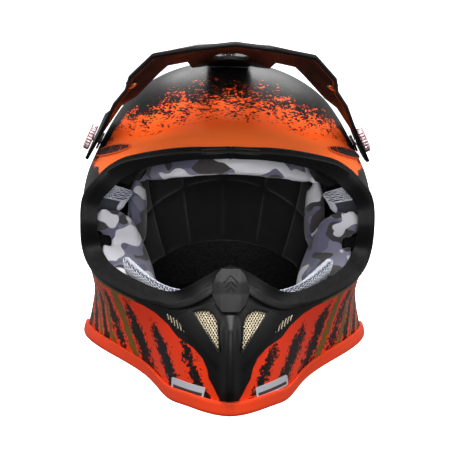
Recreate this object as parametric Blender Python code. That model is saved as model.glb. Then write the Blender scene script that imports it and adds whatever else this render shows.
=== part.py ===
"""Motocross helmet: shell, impact liner, comfort liner, tilting peak and chin strap.

Metres, +Z up. The wearer looks along -Y and +X is the wearer's left. The helmet stands on its
edge trim at z = 0, and the origin is the middle of its outline on the table.

The shell is one skin(phi, t): phi runs round the head from the chin (0) to the nape (180 degrees),
and t runs from the crown (0) to the rim (1). Front, side and rear profiles carry it, and every
layer inside is the same skin with a larger inset, so the layers always nest.
"""
import math

import bmesh
import bpy
import numpy as np
from mathutils import Matrix, Vector

MM = 0.001

# ---------------------------------------------------------------- driving sizes
HEAD_Y = 43 * MM            # the head's centre line stands this far behind the origin
SHELL_WALL = 3.5 * MM
LAYER_GAP = 1.2 * MM        # between layers whose facets don't line up
FIT_GAP = 0.4 * MM          # between pieces that touch
CROWN_EPS = 26 * MM         # thickness of the crown's impact foam
CHIN_EPS = 15 * MM
COMFORT = 9 * MM            # thickness of the crown's comfort liner
RIM_HEIGHT = 6 * MM         # the rim's lowest points, above the table
RIM_SIDE_RISE = 24 * MM     # how much higher the rim runs below the ears
TRIM_FACE = 7 * MM          # height of the edge trim's outer face above the rim
TRIM_THICK = 2.2 * MM
LIP_TOP, LIP_SIDE, LIP_BOTTOM = 5 * MM, 11 * MM, 8 * MM     # the port gasket's lip
GASKET_OVERLAP = 4 * MM
GASKET_THICK = 2 * MM
GASKET_CLEAR = 1.7 * MM     # under its flange, where it passes the shell's facets
PORT_STEPS = 56             # divisions round the port and round the rim
SHELL_STEPS = 12            # divisions from the port to the rim

PIVOT_Y, PIVOT_Z = 0 * MM, 203 * MM         # the peak's axis, in the head's frame
PIVOT_X = 117 * MM                          # where the axis leaves the peak's arms
ARM_TILT = math.radians(24)                 # the arm plates lean in by this much
PEAK_WALL = 3 * MM
PEAK_SEAT_RADIUS = 74 * MM                  # of the crown seat, about the peak's axis
SIDE_SCREW_RADIUS, SIDE_SCREW_HEAD = 12 * MM, 5.5 * MM
SHANK_RADIUS = 2.5 * MM
SHANK_CLEARANCE = 1.0 * MM
CROWN_SCREW_RADIUS, CROWN_SCREW_HEAD = 6 * MM, 2.5 * MM
CROWN_SCREW_BACK = -12 * MM                 # the crown screw's place, behind the head's centre
TILT_SLOT = 17 * MM                         # travel of the crown screw along its slot

STRAP_WIDTH, STRAP_THICK = 25 * MM, 1.8 * MM
RING_WIRE = 2 * MM                          # wire radius of the D-rings
RING_HALF, RING_DEPTH = 15.5 * MM, 19 * MM   # half the straight side, and the depth
RING_SPREAD = 5 * MM                        # between the two rings' straight sides

FOAM_START = SHELL_WALL + LAYER_GAP * 1.3
CROWN_FIRST_ROW = 18        # the crown's foam starts at this step round the port
PAD_START = SHELL_WALL + 6.5 * MM             # the strap passes between the shell and the cheek pads
CHEEK_CORE, CHEEK_PAD = 16 * MM, 24 * MM
BROW_SPAN = 54              # degrees either side of the middle
CHEEK_MESH_START, CHEEK_MESH = FOAM_START + CHIN_EPS + LAYER_GAP, 14 * MM
BROW_PAD, SIDE_PAD = 13 * MM, 17 * MM
NECK_START, NECK_ROLL, NECK_LOW = SHELL_WALL + 6 * MM, 17 * MM, 3 * MM
FIN_RISE = 6 * MM
CHIN_VENT_FOOT = (RIM_HEIGHT + TRIM_FACE + 1 * MM) / MM     # mm, just above the edge trim
GRILLE_FRONT, GRILLE_THICK = 1.8 * MM, 0.8 * MM
NOSE_GUARD_FRONT, NOSE_GUARD_BACK = 6.2 * MM, 3.9 * MM
VENT_THICK = 2 * MM
SCREW_LIFT = 0.9 * MM       # between the arm and a side screw's head, for the peak's tilt
SCREW_REACH = 23 * MM
CROWN_SCREW_REACH = 20 * MM
STRAP_PHI, STRAP_INSET = math.radians(93), SHELL_WALL + 3 * MM
RING_X, RING_Z = 86, 27     # mm, where the D-rings hang

COLOURS = {                                 # name: (red, green, blue, roughness, metallic)
    "shell_black": (0.02, 0.02, 0.022, 0.35, 0),
    "orange": (1.0, 0.13, 0.02, 0.4, 0),
    "trim_orange": (1.0, 0.12, 0.05, 0.5, 0),
    "black_rubber": (0.035, 0.035, 0.04, 0.7, 0),
    "black_plastic": (0.03, 0.03, 0.033, 0.5, 0),
    "mesh_metal": (0.55, 0.5, 0.42, 0.4, 0.8),
    "eps_foam": (0.03, 0.03, 0.03, 0.9, 0),
    "camo_fabric": (0.35, 0.34, 0.42, 0.9, 0),
    "white_mesh": (0.75, 0.76, 0.8, 0.85, 0),
    "liner_fabric": (0.1, 0.1, 0.12, 0.9, 0),
    "webbing": (0.03, 0.03, 0.03, 0.9, 0),
    "steel": (0.6, 0.6, 0.62, 0.3, 1),
    "pink_alloy": (0.75, 0.55, 0.58, 0.35, 0.8),
    "brass": (0.75, 0.55, 0.3, 0.3, 1),
    "label_white": (0.85, 0.85, 0.87, 0.4, 0),
}


# ---------------------------------------------------------------- scene and materials
def clear_scene():
    for obj in list(bpy.data.objects):
        bpy.data.objects.remove(obj)


def material(name):
    found = bpy.data.materials.get(name)
    if found:
        return found
    red, green, blue, roughness, metallic = COLOURS[name]
    made = bpy.data.materials.new(name)
    made.use_nodes = True
    shader = made.node_tree.nodes["Principled BSDF"]
    shader.inputs["Base Color"].default_value = (red, green, blue, 1)
    shader.inputs["Roughness"].default_value = roughness
    shader.inputs["Metallic"].default_value = metallic
    made.diffuse_color = (red, green, blue, 1)
    return made


def add_object(name, bm, colour, place=None, smooth=True):
    """Turns a bmesh in world space into an object whose own origin is at place."""
    bmesh.ops.recalc_face_normals(bm, faces=bm.faces)
    place = place or Matrix.Identity(4)
    bm.transform(place.inverted())
    mesh = bpy.data.meshes.new(name)
    bm.to_mesh(mesh)
    bm.free()
    if smooth:
        mesh.shade_smooth()
        mesh.set_sharp_from_angle(angle=math.radians(35))
    obj = bpy.data.objects.new(name, mesh)
    obj.matrix_world = place
    bpy.context.scene.collection.objects.link(obj)
    if colour:
        mesh.materials.append(material(colour))
    return obj


def helper(obj):
    """Marks a cutter: it shapes other pieces and isn't one itself."""
    obj.hide_render = True
    obj.display_type = "WIRE"
    return obj


def cut(obj, *cutters, operation="DIFFERENCE"):
    for cutter in cutters:
        modifier = obj.modifiers.new("Cut " + cutter.name, "BOOLEAN")
        modifier.operation = operation
        modifier.solver = "EXACT"
        modifier.object = cutter


# ---------------------------------------------------------------- lofts
def loft(name, rings, colour, closed=False, place=None, smooth=True):
    """A solid through rings of points. closed joins the last ring to the first one."""
    bm = bmesh.new()
    rows = [[bm.verts.new(p) for p in ring] for ring in rings]
    count = len(rows[0])
    pairs = list(zip(rows, rows[1:]))
    if closed:
        pairs.append((rows[-1], rows[0]))
    for first, second in pairs:
        for i in range(count):
            j = (i + 1) % count
            bm.faces.new((first[i], first[j], second[j], second[i]))
    if not closed:
        bm.faces.new(list(reversed(rows[0])))
        bm.faces.new(rows[-1])
    return add_object(name, bm, colour, place, smooth)


def slab(name, outer, inner, colour, closed=False):
    """A solid between two grids of points, outer[u][v] and inner[u][v]."""
    rings = [list(a) + list(b)[::-1] for a, b in zip(outer, inner)]
    return loft(name, rings, colour, closed)


def prism(name, outline, place, depth):
    """A cutter: the outline, in place's own x and z, drawn out to depth both ways along its y."""
    bm = bmesh.new()
    face = bm.faces.new([bm.verts.new((x, -depth, z)) for x, z in outline])
    moved = bmesh.ops.extrude_face_region(bm, geom=[face])
    verts = [v for v in moved["geom"] if isinstance(v, bmesh.types.BMVert)]
    bmesh.ops.translate(bm, verts=verts, vec=(0, 2 * depth, 0))
    bm.transform(place)
    return helper(add_object(name, bm, None, smooth=False))


# ---------------------------------------------------------------- the helmet's skin
def smooth_through(points):
    """A smooth function of t through rows (t, a, b, ...)."""
    rows = np.array(points, float)
    t, values = rows[:, 0], rows[:, 1:]
    slopes = np.empty_like(values)
    slopes[1:-1] = (values[2:] - values[:-2]) / (t[2:] - t[:-2])[:, None]
    slopes[0] = (values[1] - values[0]) / (t[1] - t[0])
    slopes[-1] = (values[-1] - values[-2]) / (t[-1] - t[-2])

    def at(x):
        x = np.clip(np.asarray(x, float), t[0], t[-1])
        k = np.clip(np.searchsorted(t, x) - 1, 0, len(t) - 2)
        h = t[k + 1] - t[k]
        s = ((x - t[k]) / h)[..., None]
        h = h[..., None]
        return (
            (2 * s**3 - 3 * s**2 + 1) * values[k]
            + (s**3 - 2 * s**2 + s) * h * slopes[k]
            + (3 * s**2 - 2 * s**3) * values[k + 1]
            + (s**3 - s**2) * h * slopes[k + 1]
        )

    return at


def profile(crown, rows):
    """Profile from the crown down, in mm: rows of (t, distance from the crown's axis, height)."""
    first = rows[0]
    mirrored = (-first[0], -first[1], first[2])
    return smooth_through([mirrored, (0, 0, crown)] + rows)


CROWN = 272                 # mm above the table
CROWN_Y = 5                 # mm behind the head's centre
RIM = RIM_HEIGHT / MM
REAR_FLAT = 0.85            # cosine of phi past which the rear rim is level
# the rim dips beside the chin: its share of the front's drop, where, and how wide
RIM_DIP, RIM_DIP_PHI, RIM_DIP_WIDTH = 0.19, math.radians(29), math.radians(9)
RIM_SIDE = (RIM_HEIGHT + RIM_SIDE_RISE) / MM
FRONT = profile(CROWN, [
    (0.10, 32, 269.5), (0.20, 65, 261), (0.30, 96, 245), (0.38, 119, 226), (0.44, 132, 209),
    (0.50, 143, 190), (0.60, 160, 155), (0.70, 176, 121), (0.78, 195, 95), (0.86, 207, 64),
    (0.93, 206, 34), (1.00, 199, RIM)])
SIDE = profile(CROWN, [
    (0.10, 33, 268.5), (0.20, 63, 257), (0.30, 88, 238), (0.40, 105, 211), (0.47, 115, 191),
    (0.53, 122.5, 173), (0.59, 126.5, 152), (0.66, 127, 129), (0.73, 125, 106), (0.80, 120, 86),
    (0.86, 117, 70), (0.92, 118.5, 54), (0.96, 120.8, 42), (1.00, 123.5, RIM_SIDE)])
REAR = profile(CROWN, [
    (0.10, 32, 269), (0.20, 63, 258), (0.30, 92, 239), (0.40, 116, 213), (0.50, 133, 180),
    (0.60, 142, 144), (0.70, 142, 108), (0.80, 134, 74), (0.90, 121, 42), (1.00, 109, RIM)])
# t: middle of the widest part behind the crown's axis, squareness of the front and of the
# rear, and how much the cheeks are pinched
SECTION = smooth_through([
    (0.0, 0, 2.0, 2.0, 0), (0.3, 0, 2.05, 2.05, 0), (0.45, 2, 2.3, 2.15, 0), (0.56, 4, 2.7, 2.2, 0),
    (0.65, 5, 2.6, 2.2, 0), (0.76, 5, 2.1, 2.2, 0.02), (0.88, 6, 1.7, 2.2, 0.08), (1.0, 8, 1.52, 2.2, 0.13)])


def inset_profile(curve, t, inset):
    """The profile moved inwards, square to itself."""
    step = 1e-3
    here = curve(t)
    slope = (curve(t + step) - curve(t - step)) / (2 * step)
    slope /= np.linalg.norm(slope, axis=-1, keepdims=True)
    inwards = np.stack([slope[..., 1], -slope[..., 0]], axis=-1)
    return here + inwards * np.asarray(inset)[..., None] / MM


def soft_step(x):
    x = np.clip(x, 0, 1)
    return x * x * (3 - 2 * x)


def skin(phi, t, inset=0.0):
    """Points of the skin, in metres, at phi (radians) and t."""
    phi, t, inset = np.broadcast_arrays(np.asarray(phi, float), np.asarray(t, float), inset)
    front, side, rear = (inset_profile(c, t, inset) for c in (FRONT, SIDE, REAR))
    back, front_square, rear_square, pinch = np.moveaxis(SECTION(t), -1, 0)
    sine, cosine = np.sin(phi), np.cos(phi)
    ahead = cosine >= 0
    power = np.where(ahead, front_square, rear_square)
    rho = (np.abs(sine) ** power + np.abs(cosine) ** power) ** (-1 / power)
    rho = rho * np.where(ahead, 1 - pinch * np.sin(2 * phi) ** 2, 1)
    end = np.where(ahead[..., None], front, rear)
    x = side[..., 0] * rho * sine
    reach = np.where(ahead, -end[..., 0] - back, end[..., 0] - back)
    y = CROWN_Y + back + reach * rho * np.abs(cosine)
    dip = RIM_DIP * np.exp(-(((np.arccos(cosine) - RIM_DIP_PHI) / RIM_DIP_WIDTH) ** 2))
    dip = dip * soft_step((t - 0.8) / 0.2)
    share = np.where(ahead, cosine**2 + dip, soft_step(np.abs(cosine) / REAR_FLAT))
    z = side[..., 1] + (end[..., 1] - side[..., 1]) * share
    return np.stack([x * MM, y * MM + HEAD_Y, z * MM], axis=-1)


def skin_normal(phi, t):
    """Unit normals of the skin, pointing out of the helmet."""
    out = skin(phi, t, -1 * MM) - skin(phi, t, 1 * MM)
    step = 1e-3
    along = skin(phi + step, t) - skin(phi - step, t)
    down = skin(phi, np.minimum(t + step, 1)) - skin(phi, np.maximum(t - step, 0))
    normal = np.cross(along, down)
    normal /= np.linalg.norm(normal, axis=-1, keepdims=True)
    side = np.sign(np.sum(normal * out, axis=-1, keepdims=True))
    return normal * side


def bisect(function, target, low, high, steps=34):
    """Solves function(x) = target for a function that rises from low to high."""
    low = np.broadcast_to(np.asarray(low, float), np.shape(target)).copy()
    high = np.broadcast_to(np.asarray(high, float), np.shape(target)).copy()
    for _ in range(steps):
        middle = (low + high) / 2
        under = function(middle) < target
        low = np.where(under, middle, low)
        high = np.where(under, high, middle)
    return (low + high) / 2


def t_at_height(phi, z, inset=0.0):
    return bisect(lambda t: -skin(phi, t, inset)[..., 2], -np.asarray(z, float), 0.0, 1.0)


def on_front(x, z, inset=0.0):
    """(phi, t) of the skin's point ahead of the ears with this x and z."""
    x, z = np.asarray(x, float), np.asarray(z, float)

    def reach(phi):
        return skin(phi, t_at_height(phi, z, inset), inset)[..., 0]

    phi = bisect(reach, np.abs(x), 0.0, math.pi / 2)
    return phi * np.sign(x), t_at_height(phi, z, inset)


# ---------------------------------------------------------------- the eye port
# Half of the gasket's inner edge, in mm from the middle and above the table, from the nose up.
PORT_HALF = [
    (0, 119), (15.5, 113.5), (39, 100), (51, 96), (63, 96.5), (79, 99.5), (95, 104), (104.5, 109.5),
    (109.5, 119), (111, 134), (110, 149), (106, 159), (98, 168.5), (88, 178.5), (75, 186.5),
    (52, 193.5), (28, 197.5), (0, 199)]


def closed_outline(half, count):
    """count points, evenly spaced round the outline whose right half is given, from x = 0."""
    rows = np.array(half, float)
    length = np.concatenate([[0], np.cumsum(np.linalg.norm(np.diff(rows, axis=0), axis=1))])
    curve = smooth_through(np.column_stack([length, rows]))
    right = curve(np.linspace(0, length[-1], count // 2 + 1))
    left = right[1:-1][::-1] * (-1, 1)
    return np.concatenate([right, left]) * MM


def port_edges(count=PORT_STEPS):
    """The gasket's inner edge (x, z), and the shell's edge (x, z) the lip's width outside it."""
    inner = closed_outline(PORT_HALF, count)
    along = np.roll(inner, -1, axis=0) - np.roll(inner, 1, axis=0)
    along /= np.linalg.norm(along, axis=1, keepdims=True)
    away = np.column_stack([along[:, 1], -along[:, 0]])
    width = LIP_SIDE * np.abs(away[:, 0])
    width += np.where(away[:, 1] > 0, LIP_TOP, LIP_BOTTOM) * np.abs(away[:, 1])
    return inner, inner + away * width[:, None]


GASKET_EDGE, SHELL_EDGE = port_edges()
PORT_PHI, PORT_T = on_front(SHELL_EDGE[:, 0], SHELL_EDGE[:, 1])
RIM_PHI = np.arange(PORT_STEPS) / PORT_STEPS * 2 * math.pi


def net(v):
    """(phi, t) along lines that run from the port's edge (v = 0) to the rim (v = 1)."""
    v = np.asarray(v, float)[None, :]

    def flat(phi, t):
        return np.stack([t * np.sin(phi), -t * np.cos(phi)], axis=-1)[:, None, :]

    between = flat(PORT_PHI, PORT_T) * (1 - v)[..., None] + flat(RIM_PHI, np.ones(PORT_STEPS)) * v[..., None]
    t = np.linalg.norm(between, axis=-1)
    return np.arctan2(between[..., 0], -between[..., 1]), t


# ---------------------------------------------------------------- shell and its trims
def make_shell():
    phi, t = net(np.linspace(0, 1, SHELL_STEPS + 1))
    return slab("outer_shell", skin(phi, t), skin(phi, t, SHELL_WALL), "shell_black", closed=True)


def port_frame():
    """At each step round the port: the shell's edge, its normal and the way into the opening."""
    edge = skin(PORT_PHI, PORT_T)
    normal = skin_normal(PORT_PHI, PORT_T)
    along = np.roll(edge, -1, axis=0) - np.roll(edge, 1, axis=0)
    inwards = np.cross(along, normal)
    inwards /= np.linalg.norm(inwards, axis=1, keepdims=True)
    centre = edge.mean(axis=0)
    inwards *= np.sign(np.sum(inwards * (centre - edge), axis=1, keepdims=True))
    return edge, normal, inwards


def lip_edge():
    """The gasket's inner edge in space. The lip runs forward at the sides and back at the top."""
    edge = skin(PORT_PHI, PORT_T)
    width = np.linalg.norm(GASKET_EDGE - SHELL_EDGE, axis=1)
    sideways = np.abs(GASKET_EDGE[:, 0] - SHELL_EDGE[:, 0]) / width
    forward = width * (1.0 * sideways**2 - 0.15)
    return np.column_stack([GASKET_EDGE[:, 0], edge[:, 1] - forward, GASKET_EDGE[:, 1]])


def make_gasket():
    edge, normal, inwards = port_frame()
    lip = lip_edge()
    back = np.array([0, 1, 0])
    section = [
        edge - inwards * GASKET_OVERLAP + normal * GASKET_CLEAR,
        edge - inwards * GASKET_OVERLAP + normal * (GASKET_CLEAR + GASKET_THICK * 0.6),
        edge - inwards * GASKET_OVERLAP * 0.6 + normal * (GASKET_CLEAR + GASKET_THICK),
        edge + inwards * 1.5 * MM + normal * (GASKET_CLEAR + GASKET_THICK),
        lip,
        lip + back * GASKET_THICK,
        edge + inwards * 3.4 * MM - normal * (SHELL_WALL + 2 * MM),
        edge + inwards * LAYER_GAP * 2 - normal * (SHELL_WALL + 2 * MM),
        edge + inwards * LAYER_GAP * 2 + normal * GASKET_CLEAR,
    ]
    return loft("eyeport_gasket", np.stack(section, axis=1), "black_rubber", closed=True)


def make_edge_trim():
    """A channel over the rim: outer face, rounded bottom and inner flange."""
    phi = RIM_PHI
    drop = RIM_HEIGHT
    up_outside = t_at_height(phi, skin(phi, 1.0)[..., 2] + TRIM_FACE)
    up_inside = t_at_height(phi, skin(phi, 1.0)[..., 2] + TRIM_FACE * 0.7)
    wall, gap, thick = SHELL_WALL, LAYER_GAP, TRIM_THICK

    # the wall's inner edge can hang below its outer one, so the channel's floor stays under both
    hang = skin(phi, 1.0)[:, 2] - skin(phi, 1.0, wall)[:, 2]
    channel = np.maximum(FIT_GAP * 2, hang + FIT_GAP * 0.1)

    def below(inset, depth):
        points = skin(phi, 1.0, inset)
        points[:, 2] = skin(phi, 1.0)[:, 2] - depth
        return points

    section = [
        skin(phi, up_outside, -gap),
        skin(phi, up_outside, -gap - thick * 0.7),
        skin(phi, (up_outside + 1) / 2, -gap - thick),
        below(-gap - thick, drop * 0.35),
        below(-gap - thick * 0.5, drop * 0.85),
        below(-gap * 0.2, drop),
        below(wall + gap * 0.5, drop),
        below(wall + gap + thick * 0.5, drop * 0.75),
        below(wall + gap + thick, drop * 0.2),
        skin(phi, up_inside, wall + gap + thick),
        skin(phi, up_inside, wall + gap),
        below(wall + gap, channel),
        below(-gap, channel),
    ]
    return loft("edge_trim", np.stack(section, axis=1), "trim_orange", closed=True)


# ---------------------------------------------------------------- points on the skin
def net_at(rows, v):
    """(phi, t) of the net at fractional steps round the port (rows) and towards the rim (v)."""
    index = np.arange(-PORT_STEPS, 2 * PORT_STEPS)
    port = np.stack([PORT_T * np.sin(PORT_PHI), -PORT_T * np.cos(PORT_PHI)], axis=-1)
    rim = np.stack([np.sin(RIM_PHI), -np.cos(RIM_PHI)], axis=-1)
    between = port[:, None] * (1 - v)[None, :, None] + rim[:, None] * v[None, :, None]
    tiled = np.concatenate([between] * 3)
    flat = np.empty((len(rows), len(v), 2))
    for column in range(len(v)):
        for part in range(2):
            flat[:, column, part] = np.interp(rows, index, tiled[:, column, part])
    return np.arctan2(flat[..., 0], -flat[..., 1]), np.linalg.norm(flat, axis=-1)


def strike(points, direction, phi, t, inset=0.0):
    """Where the lines from points along direction meet the skin, starting the search at phi, t."""
    points = np.atleast_2d(np.asarray(points, float))
    direction = np.asarray(direction, float)
    guess = np.tile([phi, t, 0.0], (len(points), 1))

    def miss(g):
        return skin(g[:, 0], g[:, 1], inset) - points - g[:, 2:] * direction

    for _ in range(12):
        here = miss(guess)
        slopes = []
        for k, step in enumerate((1e-5, 1e-5, 1e-5)):
            moved = guess.copy()
            moved[:, k] += step
            slopes.append((miss(moved) - here) / step)
        jacobian = np.stack(slopes, axis=-1)
        guess -= np.linalg.solve(jacobian, here[..., None])[..., 0]
        guess[:, 1] = np.clip(guess[:, 1], 0.003, 0.999)
    return points + guess[:, 2:] * direction


def aim(point, direction):
    """A frame at point whose +z runs along direction."""
    turn = Vector(direction).to_track_quat("Z", "Y").to_matrix().to_4x4()
    return Matrix.Translation(point) @ turn


def turned(name, outline, place, colour, segments=32, smooth=True):
    """A solid of revolution about place's z, from rows of (radius, height) that start and end on it."""
    angles = np.arange(segments) / segments * 2 * math.pi
    bm = bmesh.new()
    rows = []
    for radius, height in outline:
        if radius == 0:
            rows.append([bm.verts.new((0, 0, height))])
        else:
            rows.append([bm.verts.new((radius * math.cos(a), radius * math.sin(a), height)) for a in angles])
    for first, second in zip(rows, rows[1:]):
        for i in range(segments):
            j = (i + 1) % segments
            if len(first) == 1:
                bm.faces.new((first[0], second[j], second[i]))
            elif len(second) == 1:
                bm.faces.new((first[i], first[j], second[0]))
            else:
                bm.faces.new((first[i], first[j], second[j], second[i]))
    bm.transform(place)
    return add_object(name, bm, colour, place if colour else None, smooth)


def drill(name, place, radius, low, high, segments=24):
    outline = [(0, low), (radius, low), (radius, high), (0, high)]
    return helper(turned(name, outline, place, None, segments, smooth=False))


# ---------------------------------------------------------------- liners
def padded(name, colour, phi, t, start, thick, edge=0.35):
    """A pad on the skin over a grid of phi and t, thinner round its border.

    start is its inset, and thick the further inset of its face; both can vary over the grid."""
    share_a = np.linspace(-1, 1, phi.shape[0])[:, None]
    share_d = np.linspace(-1, 1, phi.shape[1])[None, :]
    bulge = edge + (1 - edge) * np.sqrt((1 - share_a**4) * (1 - share_d**4))
    start = start + 0 * bulge
    outer = skin(phi, t, start)
    inner = skin(phi, t, start + thick * bulge)
    return slab(name, outer, inner, colour)


def net_grid(rows, v, steps):
    return net_at(np.linspace(*rows, steps[0] + 1), np.linspace(*v, steps[1] + 1))


def mirrored_pads(name, colour, rows, v, start, thick, steps, edge=0.35):
    """The wearer's left pad and its mirror image. start and thick run down the pad, if arrays."""
    phi, t = net_grid(rows, v, steps)
    for side, sign in (("left", 1), ("right", -1)):
        padded(f"{name}_{side}", colour, sign * phi, t, start, thick, edge)


def make_crown_foam():
    """Impact foam from the port's upper edge, over the crown and down to the nape."""
    rows = np.arange(CROWN_FIRST_ROW, PORT_STEPS - CROWN_FIRST_ROW + 1.0)
    phi, t = net_at(rows, np.arange(1, SHELL_STEPS) / SHELL_STEPS)
    outer = skin(phi, t, FOAM_START)
    inner = skin(phi, t, FOAM_START + CROWN_EPS)
    return slab("crown_impact_foam", outer, inner, "eps_foam")


def make_chin_foam():
    """Impact foam behind the chin bar."""
    phi, t = net_at(np.arange(-6.0, 7.0), np.arange(2, 10) / SHELL_STEPS)
    outer = skin(phi, t, FOAM_START)
    inner = skin(phi, t, FOAM_START + CHIN_EPS)
    return slab("chin_impact_foam", outer, inner, "eps_foam")


def make_comfort_liner():
    """Padded cap inside the crown foam."""
    start = FOAM_START + CROWN_EPS + LAYER_GAP
    rows = np.arange(CROWN_FIRST_ROW + 2, PORT_STEPS - CROWN_FIRST_ROW - 1.0)
    phi, t = net_at(rows, np.arange(3, 11) / SHELL_STEPS)
    outer = skin(phi, t, start)
    inner = skin(phi, t, start + COMFORT)
    return slab("crown_comfort_liner", outer, inner, "liner_fabric")


def make_brow_pad():
    """The roll above the eyes: its lower edge curves down towards the temples."""
    inset = FOAM_START + CROWN_EPS + LAYER_GAP
    phi = np.radians(np.linspace(-BROW_SPAN, BROW_SPAN, 15))
    arch = np.abs(phi / phi[-1]) ** 1.7
    low = (186 - 15 * arch) * MM
    high = (211 - 4 * arch) * MM
    z = low[:, None] + (high - low)[:, None] * np.linspace(0, 1, 6)
    phi = np.broadcast_to(phi[:, None], z.shape)
    return padded("brow_pad", "camo_fabric", phi, t_at_height(phi, z, inset), inset, BROW_PAD, 0.45)


def make_pads():
    inside_crown = FOAM_START + CROWN_EPS + LAYER_GAP
    make_brow_pad()
    mirrored_pads("temple_mesh_pad", "white_mesh", (15.8, 17.2), (-0.02, 0.17),
                  PAD_START, CROWN_EPS, (3, 4), edge=0.75)
    mirrored_pads("side_pad", "camo_fabric", (15.7, 19.6), (0.29, 0.62), inside_crown + 7.5 * MM,
                  SIDE_PAD, (5, 5))
    mirrored_pads("cheek_core", "eps_foam", (10.6, 15.2), (0.24, 0.74), PAD_START, CHEEK_CORE, (7, 6),
                  edge=0.8)
    # the cushion's front end wraps round the core, out to the shell
    behind = np.array([0, 0, 1, 1, 1, 1, 1, 1, 1]) * (CHEEK_CORE + LAYER_GAP)
    depth = CHEEK_CORE + LAYER_GAP + CHEEK_PAD
    mirrored_pads("cheek_pad", "camo_fabric", (10.5, 15.3), (-0.02, 0.74), PAD_START + behind,
                  depth - behind, (8, 8), edge=0.5)
    mirrored_pads("cheek_mesh_pad", "white_mesh", (5.6, 10.2), (-0.22, 0.34), CHEEK_MESH_START,
                  CHEEK_MESH, (5, 4), edge=0.5)


def make_neck_roll():
    """Padded roll round the back of the neck."""
    phi = np.radians(np.linspace(122, 238, 17))
    high = np.array([1, 0.985, 0.965, 0.945, 0.93])
    t = np.broadcast_to(high, (len(phi), len(high)))
    outer = skin(phi[:, None], t, NECK_START)
    bulge = 0.4 + 0.6 * np.sqrt(1 - np.abs(np.linspace(-1, 1, len(high))) ** 3)
    inner = skin(phi[:, None], t, NECK_START + NECK_ROLL * bulge)
    low = NECK_LOW
    for grid in (outer, inner):
        grid[..., 2] = np.maximum(grid[..., 2], low)
        grid[:, 0, 2] = low
    return slab("neck_roll", outer, inner, "liner_fabric")


# ---------------------------------------------------------------- chin vent and its neighbours
def surface_plate(name, colour, half, inset_out, inset_in, rows=10):
    """A plate on the front of the skin. half holds (x, z) rows down one side, in mm."""
    half = np.array(half, float) * MM
    share = np.linspace(-1, 1, rows + 1)
    x = half[:, :1] * share
    z = np.broadcast_to(half[:, 1:], x.shape)
    grids = []
    for inset in (inset_out, inset_in):
        inset = inset(x, z) if callable(inset) else inset
        phi, t = on_front(x, z, inset)
        grids.append(skin(phi, t, inset))
    return slab(name, grids[0], grids[1], colour)


def chin_rise(x, z):
    """Outer face of the chin vent: a central fin, and a border raised above the plate."""
    fin = np.clip(1 - np.abs(x) / (9 * MM), 0, 1)
    length = np.clip((84 * MM - z) / (14 * MM), 0, 1) * np.clip((z - 6 * MM) / (20 * MM), 0.25, 1)
    return -(2.6 * MM + FIN_RISE * fin * length)


def make_chin_vent():
    half = [(7.5, CHIN_VENT_FOOT), (10, 18.5), (13, 25), (16.5, 31), (18, 39), (22, 48), (30, 57), (36, 66),
            (43, 77.5), (33, 84.5), (19, 91), (6, 96)]
    housing = surface_plate("chin_vent_housing", "black_plastic", half, chin_rise, -LAYER_GAP, rows=14)
    shell = bpy.data.objects["outer_shell"]
    foam = bpy.data.objects["chin_impact_foam"]
    window = np.array([(8.2, 53), (14.8, 62.5), (23.5, 75), (29.5, 83), (19, 85.5), (12.5, 82), (9.8, 76)]) * MM
    middle = window.mean(axis=0)
    for side, sign in (("left", 1), ("right", -1)):
        outline = window * (sign, 1)
        place = Matrix.Translation((0, HEAD_Y - 190 * MM, 0))
        opening = prism(f"chin_window_{side}", outline, place, 50 * MM)
        cut(housing, opening)
        smaller = middle * (sign, 1) + (outline - middle * (sign, 1)) * 0.86
        deeper = prism(f"chin_duct_{side}", smaller, place, 50 * MM)
        cut(shell, deeper)
        cut(foam, deeper)
        # the grille stands in the opening of the housing
        inner = middle * (sign, 1) + (outline - middle * (sign, 1)) * 0.88
        rings = []
        for x, z in inner:
            phi, t = on_front(x, z)
            rings.append([skin(phi, t, -GRILLE_FRONT), skin(phi, t, -GRILLE_FRONT + GRILLE_THICK)])
        rings = np.array(rings)
        loft(f"chin_grille_{side}", [rings[:, 0], rings[:, 1]], "mesh_metal", smooth=False)


def make_nose_guard():
    """The hexagonal cap over the nose of the port."""
    half = [(7, 85.5), (12, 91), (14.5, 98), (14.5, 105), (11.5, 113), (7.5, 117.5)]

    def over_gasket(rise):
        return lambda x, z: -(rise + 2.6 * MM * np.clip((z - 99 * MM) / (9 * MM), 0, 1))

    surface_plate("nose_guard", "black_rubber", half, over_gasket(NOSE_GUARD_FRONT),
                  over_gasket(NOSE_GUARD_BACK), rows=6)


def leaf(name, colour, centre, half_width, half_height, lean, insets, steps=9):
    """A leaf-shaped grille on the side of the skin. centre is (phi degrees, z)."""
    share = np.linspace(-1, 1, steps + 1)
    phi = np.radians(centre[0] + share * half_width)
    tall = half_height * (1 - np.abs(share) ** 2.2) ** 0.7 + 0.8
    z_mid = centre[1] + lean * share
    grids = []
    for inset in insets:
        rows = []
        for k in (-1, -0.4, 0.4, 1):
            z = (z_mid + k * tall) * MM
            rows.append(skin(phi, t_at_height(phi, z, inset), inset))
        grids.append(np.stack(rows, axis=1))
    return slab(name, grids[0], grids[1], colour)


def make_vents():
    for side, sign in (("left", 1), ("right", -1)):
        centre = (sign * 61, 199.5)
        leaf(f"temple_vent_{side}", "black_plastic", centre, sign * 9, 4.6, -3.5,
             (-LAYER_GAP - VENT_THICK, -LAYER_GAP))
        leaf(f"rear_vent_{side}", "black_plastic", (180 - sign * 24, 214), sign * 13, 7.5, 0,
             (-LAYER_GAP - VENT_THICK, -LAYER_GAP))


# ---------------------------------------------------------------- peak
def crown_arc(radius, y):
    """Height of the arc of this radius about the peak's axis, at y in the head's frame."""
    return PIVOT_Z + np.sqrt(radius**2 - (y - PIVOT_Y) ** 2)


PEAK_TOP = PEAK_SEAT_RADIUS + 1 * MM + PEAK_WALL     # radius of the tongue's top over the seat

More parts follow.
